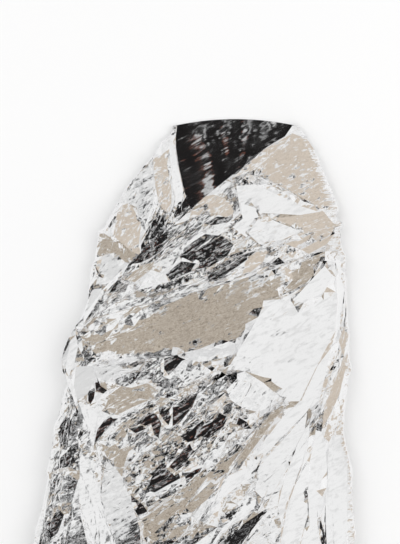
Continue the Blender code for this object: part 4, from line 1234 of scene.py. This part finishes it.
def place_group(tree, group, **values):
    node = tree.nodes.new("ShaderNodeGroup")
    node.node_tree = group
    for name, value in values.items():
        node.inputs[name.replace("_", " ")].default_value = value
    return node


# The crinkle's layers: facet size, stretch and direction.
CRINKLE_LAYERS = ((0.012, 2.0, 0.62), (0.0062, 1.7, 0.85), (0.0032, 1.4, 0.40))
RIPPLE_SIZE = 0.006
RIPPLE_STRETCH = 6.0
RIPPLE_DIRECTION = 0.45
RIPPLE_ON_CALM = 0.35
RIPPLE_FULL_AT = 0.3
HAZE_SIZE = 28.0
HAZE_RANGE = (0.05, 0.13)
CLOUD_SIZE = 9.0
CLOUD_DARKEST = 0.95


def film_material(look):
    material = bpy.data.materials.new("silver_film")
    material.use_nodes = True
    tree = material.node_tree
    shader = tree.nodes["Principled BSDF"]
    facing = tree.nodes.new("ShaderNodeNewGeometry")
    flap = tree.nodes.new("ShaderNodeAttribute")
    flap.attribute_name = "flap"
    inner = math_node(tree, "MULTIPLY", facing.outputs["Backfacing"], flap.outputs["Fac"])
    metal = tree.nodes.new("ShaderNodeMapRange")
    tree.links.new(inner, metal.inputs["Value"])
    metal.inputs["To Min"].default_value = 1.0
    metal.inputs["To Max"].default_value = look.inner_metal
    tree.links.new(metal.outputs["Result"], shader.inputs["Metallic"])
    amount = tree.nodes.new("ShaderNodeAttribute")
    amount.attribute_name = "crumple"
    crinkle = leaning_group("film_crinkle", False)
    normal = facing.outputs["Normal"]
    leans = (look.coarse_lean, look.fine_lean, look.grain_lean)
    for (size, stretch, direction), lean in zip(CRINKLE_LAYERS, leans):
        node = place_group(tree, crinkle, Facet_Size=size, Stretch=stretch, Direction=direction)
        tree.links.new(normal, node.inputs["Normal"])
        tree.links.new(math_node(tree, "MULTIPLY", amount.outputs["Fac"], lean), node.inputs["Lean"])
        normal = node.outputs["Normal"]
    ripple = place_group(tree, leaning_group("film_ripple", True), Facet_Size=RIPPLE_SIZE,
                         Stretch=RIPPLE_STRETCH, Direction=RIPPLE_DIRECTION)
    strength = tree.nodes.new("ShaderNodeMapRange")
    tree.links.new(amount.outputs["Fac"], strength.inputs["Value"])
    strength.inputs["From Max"].default_value = RIPPLE_FULL_AT
    strength.inputs["To Min"].default_value = look.ripple_lean * RIPPLE_ON_CALM
    strength.inputs["To Max"].default_value = look.ripple_lean
    tree.links.new(strength.outputs["Result"], ripple.inputs["Lean"])
    tree.links.new(normal, ripple.inputs["Normal"])
    tree.links.new(ripple.outputs["Normal"], shader.inputs["Normal"])
    haze = place_group(tree, haze_group(), Size=HAZE_SIZE, Least=HAZE_RANGE[0], Most=HAZE_RANGE[1])
    tree.links.new(haze.outputs["Value"], shader.inputs["Roughness"])
    tone = tree.nodes.new("ShaderNodeMix")
    tone.data_type = "RGBA"
    cloud = place_group(tree, haze_group(), Size=CLOUD_SIZE, Least=0.0, Most=1.0)
    tree.links.new(cloud.outputs["Value"], tone.inputs["Factor"])
    tone.inputs["A"].default_value = (*[c * CLOUD_DARKEST for c in look.film_colour], 1.0)
    tone.inputs["B"].default_value = (*look.film_colour, 1.0)
    tree.links.new(tone.outputs["Result"], shader.inputs["Base Color"])
    return material


# What the film mirrors, on the sky seen from above: soft ovals with their middle along x and y, half
# widths along x and y, turn in degrees, colour and softness of the edge.
WHITE = (0.93, 0.93, 0.925)
PALE = (0.76, 0.76, 0.755)
GREY = (0.66, 0.665, 0.665)
WARM = (0.46, 0.40, 0.33)
LIGHT_WARM = (0.86, 0.76, 0.66)
WARM_GRAIN = 14.0
WARM_STOPS = ((0.36, (0.24, 0.20, 0.155)), (0.47, WARM), (0.495, (0.62, 0.56, 0.48)), (0.52, WARM),
              (0.64, (0.62, 0.55, 0.465)))
DARK = (0.012, 0.011, 0.011)
BROWN = (0.16, 0.06, 0.04)
MOTTLE_STOPS = ((0.45, DARK), (0.49, (0.08, 0.08, 0.08)), (0.53, (0.27, 0.27, 0.27)),
                (0.57, (0.45, 0.45, 0.45)), (0.64, (0.64, 0.64, 0.64)), (0.72, (0.86, 0.86, 0.86)))
MOTTLE_PLACE = (-0.12, 0.04, 0.48, 0.37, 0.0)
MOTTLE_EDGE = 0.15
MOTTLE_SIZE = 8.0
DRIFT_SIZE = 3.2
PALE_BELOW = 0.36
WHITE_ABOVE = 0.56
LIGHT_WARM_SHARE = 0.45
SKY_ON_MATT = (0.9, 0.9, 0.9)
SKY_CARDS = [
    (-0.50, 0.28, 0.12, 0.10, 20.0, GREY, 0.8),
    (0.36, -0.28, 0.12, 0.08, 0.0, GREY, 0.8),
    (-0.40, -0.24, 0.10, 0.05, 0.0, GREY, 0.8),
    (-0.28, -0.60, 0.90, 0.29, 0.0, WARM, 0.08),
    (0.46, 0.46, 0.27, 0.17, 20.0, LIGHT_WARM, 0.1),
    (0.76, 0.42, 0.24, 0.15, 30.0, LIGHT_WARM, 0.2),
    (0.86, -0.30, 0.10, 0.22, 10.0, LIGHT_WARM, 0.2),
    (0.00, 0.00, 0.22, 0.14, 25.0, DARK, 0.12),
    (-0.12, 0.06, 0.025, 0.035, 10.0, BROWN, 0.4),
]


def oval_mask(tree, flat, x, y, width, height, angle, edge):
    mapping = tree.nodes.new("ShaderNodeMapping")
    mapping.vector_type = "TEXTURE"
    mapping.inputs["Location"].default_value = (x, y, 0.0)
    mapping.inputs["Rotation"].default_value = (0.0, 0.0, math.radians(angle))
    mapping.inputs["Scale"].default_value = (width, height, 1.0)
    tree.links.new(flat, mapping.inputs["Vector"])
    length = tree.nodes.new("ShaderNodeVectorMath")
    length.operation = "LENGTH"
    tree.links.new(mapping.outputs["Vector"], length.inputs[0])
    mask = tree.nodes.new("ShaderNodeMapRange")
    mask.interpolation_type = "SMOOTHSTEP"
    mask.inputs["From Min"].default_value = 1.0 + edge
    mask.inputs["From Max"].default_value = 1.0 - edge
    tree.links.new(length.outputs["Value"], mask.inputs["Value"])
    return mask.outputs["Result"]


def colour_ramp(tree, value, stops):
    ramp = tree.nodes.new("ShaderNodeValToRGB")
    tree.links.new(value, ramp.inputs["Fac"])
    while len(ramp.color_ramp.elements) < len(stops):
        ramp.color_ramp.elements.new(0.5)
    for element, (position, tint) in zip(ramp.color_ramp.elements, stops):
        element.position = position
        element.color = (*tint, 1.0)
    return ramp.outputs["Color"]


def mix_colour(tree, mask, first, second):
    mix = tree.nodes.new("ShaderNodeMix")
    mix.data_type = "RGBA"
    if isinstance(mask, float):
        mix.inputs["Factor"].default_value = mask
    else:
        tree.links.new(mask, mix.inputs["Factor"])
    for name, value in (("A", first), ("B", second)):
        if isinstance(value, tuple):
            mix.inputs[name].default_value = (*value, 1.0)
        else:
            tree.links.new(value, mix.inputs[name])
    return mix.outputs["Result"]


def studio_world():
    world = bpy.data.worlds.new("pale_studio")
    world.use_nodes = True
    bpy.context.scene.world = world
    tree = world.node_tree
    background = tree.nodes["Background"]
    place = tree.nodes.new("ShaderNodeTexCoord")
    split = tree.nodes.new("ShaderNodeSeparateXYZ")
    tree.links.new(place.outputs["Generated"], split.inputs["Vector"])
    merge = tree.nodes.new("ShaderNodeCombineXYZ")
    tree.links.new(split.outputs["X"], merge.inputs["X"])
    tree.links.new(split.outputs["Y"], merge.inputs["Y"])
    flat = merge.outputs["Vector"]
    mottle = tree.nodes.new("ShaderNodeTexNoise")
    mottle.inputs["Scale"].default_value = MOTTLE_SIZE
    mottle.inputs["Detail"].default_value = 2.0
    mottle.inputs["Distortion"].default_value = 0.6
    tree.links.new(flat, mottle.inputs["Vector"])
    drift = tree.nodes.new("ShaderNodeTexNoise")
    drift.inputs["Scale"].default_value = DRIFT_SIZE
    drift.inputs["Detail"].default_value = 1.0
    tree.links.new(flat, drift.inputs["Vector"])
    shade = tree.nodes.new("ShaderNodeMapRange")
    tree.links.new(drift.outputs["Fac"], shade.inputs["Value"])
    shade.inputs["From Min"].default_value = PALE_BELOW
    shade.inputs["From Max"].default_value = WHITE_ABOVE
    pale = mix_colour(tree, shade.outputs["Result"], PALE, WHITE)
    mask = oval_mask(tree, flat, *MOTTLE_PLACE, MOTTLE_EDGE)
    colour = mix_colour(tree, mask, pale, colour_ramp(tree, mottle.outputs["Fac"], MOTTLE_STOPS))
    grain = tree.nodes.new("ShaderNodeTexNoise")
    grain.inputs["Scale"].default_value = WARM_GRAIN
    grain.inputs["Detail"].default_value = 3.0
    tree.links.new(flat, grain.inputs["Vector"])
    warm = colour_ramp(tree, grain.outputs["Fac"], WARM_STOPS)
    light_warm = mix_colour(tree, LIGHT_WARM_SHARE, warm, LIGHT_WARM)
    for x, y, width, height, angle, tint, edge in SKY_CARDS:
        mask = oval_mask(tree, flat, x, y, width, height, angle, edge)
        colour = mix_colour(tree, mask, colour, {WARM: warm, LIGHT_WARM: light_warm}.get(tint, tint))
    seen = tree.nodes.new("ShaderNodeLightPath")
    colour = mix_colour(tree, seen.outputs["Is Glossy Ray"], SKY_ON_MATT, colour)
    tree.links.new(colour, background.inputs["Color"])
    background.inputs["Strength"].default_value = 1.0


def floor_material(tint):
    material = bpy.data.materials.new("pale_floor")
    material.use_nodes = True
    shader = material.node_tree.nodes["Principled BSDF"]
    shader.inputs["Base Color"].default_value = (*tint, 1.0)
    shader.inputs["Roughness"].default_value = 0.9
    shader.inputs["Specular IOR Level"].default_value = 0.1
    return material


def soft_light(name, place, target, size, power, tint):
    data = bpy.data.lights.new(name, "AREA")
    data.shape = "RECTANGLE"
    data.size, data.size_y = size
    data.energy = power
    data.color = tint
    light = bpy.data.objects.new(name, data)
    bpy.context.scene.collection.objects.link(light)
    light.location = place
    light.visible_glossy = False
    light.rotation_euler = (Vector(target) - Vector(place)).to_track_quat("-Z", "Y").to_euler()
    return light


class FoilBlanketLook(bpy.types.PropertyGroup):
    """The blanket's own sizes and finish."""

    width: bpy.props.FloatProperty(
        name="Sheet width", description="The film's longer side, which goes round",
        default=2.10, min=1.8, max=2.4, unit="LENGTH")
    length: bpy.props.FloatProperty(
        name="Sheet length", description="The film's shorter side, from neck edge to hem",
        default=1.30, min=1.0, max=1.6, unit="LENGTH")
    film_colour: bpy.props.FloatVectorProperty(
        name="Film colour", description="Colour of the metallised film",
        default=(0.93, 0.93, 0.935), min=0.0, max=1.0, subtype="COLOR")
    coarse_lean: bpy.props.FloatProperty(
        name="Coarse crinkle", description="How far the larger small facets lean",
        default=0.35, min=0.0, max=1.0)
    fine_lean: bpy.props.FloatProperty(
        name="Fine crinkle", description="How far the smallest facets lean",
        default=0.22, min=0.0, max=1.0)
    grain_lean: bpy.props.FloatProperty(
        name="Crinkle grain", description="How far the facets too small to see apart lean",
        default=0.22, min=0.0, max=1.0)
    inner_metal: bpy.props.FloatProperty(
        name="Inner shine", description="How much of a mirror the flaps' inner side is",
        default=0.2, min=0.0, max=1.0)
    ripple_lean: bpy.props.FloatProperty(
        name="Ripple", description="How far the long soft ripples lean",
        default=0.42, min=0.0, max=1.0)


class FoilBlanketStage(bpy.types.PropertyGroup):
    """The floor, the lights and the camera."""

    floor_colour: bpy.props.FloatVectorProperty(
        name="Floor colour", description="Colour of the plain floor",
        default=(0.93, 0.93, 0.93), min=0.0, max=1.0, subtype="COLOR")
    floor_size: bpy.props.FloatProperty(
        name="Floor size", description="Side of the square floor",
        default=14.0, min=4.0, unit="LENGTH")
    camera_height: bpy.props.FloatProperty(
        name="Camera height", description="How far the camera is above the floor",
        default=CAMERA_PLACE[2], min=1.0, unit="LENGTH")
    view_height: bpy.props.FloatProperty(
        name="Framed length", description="How much of the floor the picture's height spans",
        default=0.979, min=0.2, unit="LENGTH")
    look_x: bpy.props.FloatProperty(
        name="Aim across", description="Where the camera stands across the blanket",
        default=CAMERA_PLACE[0], unit="LENGTH")
    look_y: bpy.props.FloatProperty(
        name="Aim along", description="Where the camera stands along the blanket",
        default=CAMERA_PLACE[1], unit="LENGTH")


class FOIL_OT_blanket(bpy.types.Operator):
    """Build the folded film blanket"""

    bl_idname = "foil.blanket"
    bl_label = "Film blanket"

    def execute(self, context):
        look = context.scene.foil_blanket_look
        points, faces, amount, behind = whole_sheet()
        mesh = bpy.data.meshes.new(PIECE)
        mesh.from_pydata(points.tolist(), [], [tuple(face) for face in faces])
        mesh.update()
        mesh.shade_smooth()
        mesh.set_sharp_from_angle(angle=SHARP_ANGLE)
        for edge in mesh.edges:
            if max(edge.vertices) >= behind:
                edge.use_edge_sharp = False
        layer = mesh.attributes.new("crumple", "FLOAT", "POINT")
        layer.data.foreach_set("value", amount.astype(np.float32))
        layer = mesh.attributes.new("flap", "FLOAT", "POINT")
        layer.data.foreach_set("value", (np.arange(len(points)) < behind).astype(np.float32))
        blanket = bpy.data.objects.new(PIECE, mesh)
        context.scene.collection.objects.link(blanket)
        mesh.materials.append(film_material(look))
        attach(blanket, "root")
        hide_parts(NODE)
        return {"FINISHED"}


class FOIL_OT_stage(bpy.types.Operator):
    """Build the floor, the lights and the camera"""

    bl_idname = "foil.stage"
    bl_label = "Floor, lights and camera"

    def execute(self, context):
        stage = context.scene.foil_blanket_stage
        half = stage.floor_size / 2
        mesh = bpy.data.meshes.new("floor")
        mesh.from_pydata([(-half, -half, 0.0), (half, -half, 0.0), (half, half, 0.0), (-half, half, 0.0)],
                         [], [(0, 1, 2, 3)])
        floor = bpy.data.objects.new("floor", mesh)
        floor.location.z = -0.001
        context.scene.collection.objects.link(floor)
        mesh.materials.append(floor_material(stage.floor_colour))
        studio_world()
        soft_light("key_light", (-1.6, 1.4, 2.6), (0.0, 0.2, 0.0), (1.6, 1.6), 10.0, (1.0, 1.0, 1.0))
        soft_light("fill_light", (2.2, 0.3, 1.9), (0.0, 0.2, 0.0), (1.8, 1.8), 12.0, (1.0, 0.99, 0.97))
        data = bpy.data.cameras.new("camera")
        data.sensor_fit = "VERTICAL"
        data.sensor_height = 24.0
        data.lens = data.sensor_height * stage.camera_height / stage.view_height
        camera = bpy.data.objects.new("camera", data)
        context.scene.collection.objects.link(camera)
        camera.location = (stage.look_x, stage.look_y, stage.camera_height)
        camera.rotation_euler = (0.0, 0.0, 0.0)
        context.scene.camera = camera
        context.scene.view_settings.view_transform = "Standard"
        return {"FINISHED"}


class FOIL_PT_panel(bpy.types.Panel):
    """The blanket's pieces and values"""

    bl_idname = "FOIL_PT_panel"
    bl_label = "Foil blanket"
    bl_space_type = "VIEW_3D"
    bl_region_type = "UI"
    bl_category = "Foil blanket"

    def draw(self, context):
        layout = self.layout
        scene = context.scene
        for group, operator in ((scene.foil_blanket_look, "foil.blanket"),
                                (scene.foil_blanket_stage, "foil.stage")):
            box = layout.box()
            for name in group.bl_rna.properties.keys():
                if name not in {"rna_type", "name"}:
                    box.prop(group, name)
            box.operator(operator)


CLASSES = (FoilBlanketLook, FoilBlanketStage, FOIL_OT_blanket, FOIL_OT_stage, FOIL_PT_panel)


def register():
    for cls in CLASSES:
        bpy.utils.register_class(cls)
    bpy.types.Scene.foil_blanket_look = bpy.props.PointerProperty(type=FoilBlanketLook)
    bpy.types.Scene.foil_blanket_stage = bpy.props.PointerProperty(type=FoilBlanketStage)


def unregister():
    del bpy.types.Scene.foil_blanket_stage
    del bpy.types.Scene.foil_blanket_look
    for cls in reversed(CLASSES):
        bpy.utils.unregister_class(cls)


def main():
    register()
    bpy.ops.foil.stage()
    bpy.ops.foil.blanket()


if __name__ == "__main__":
    main()
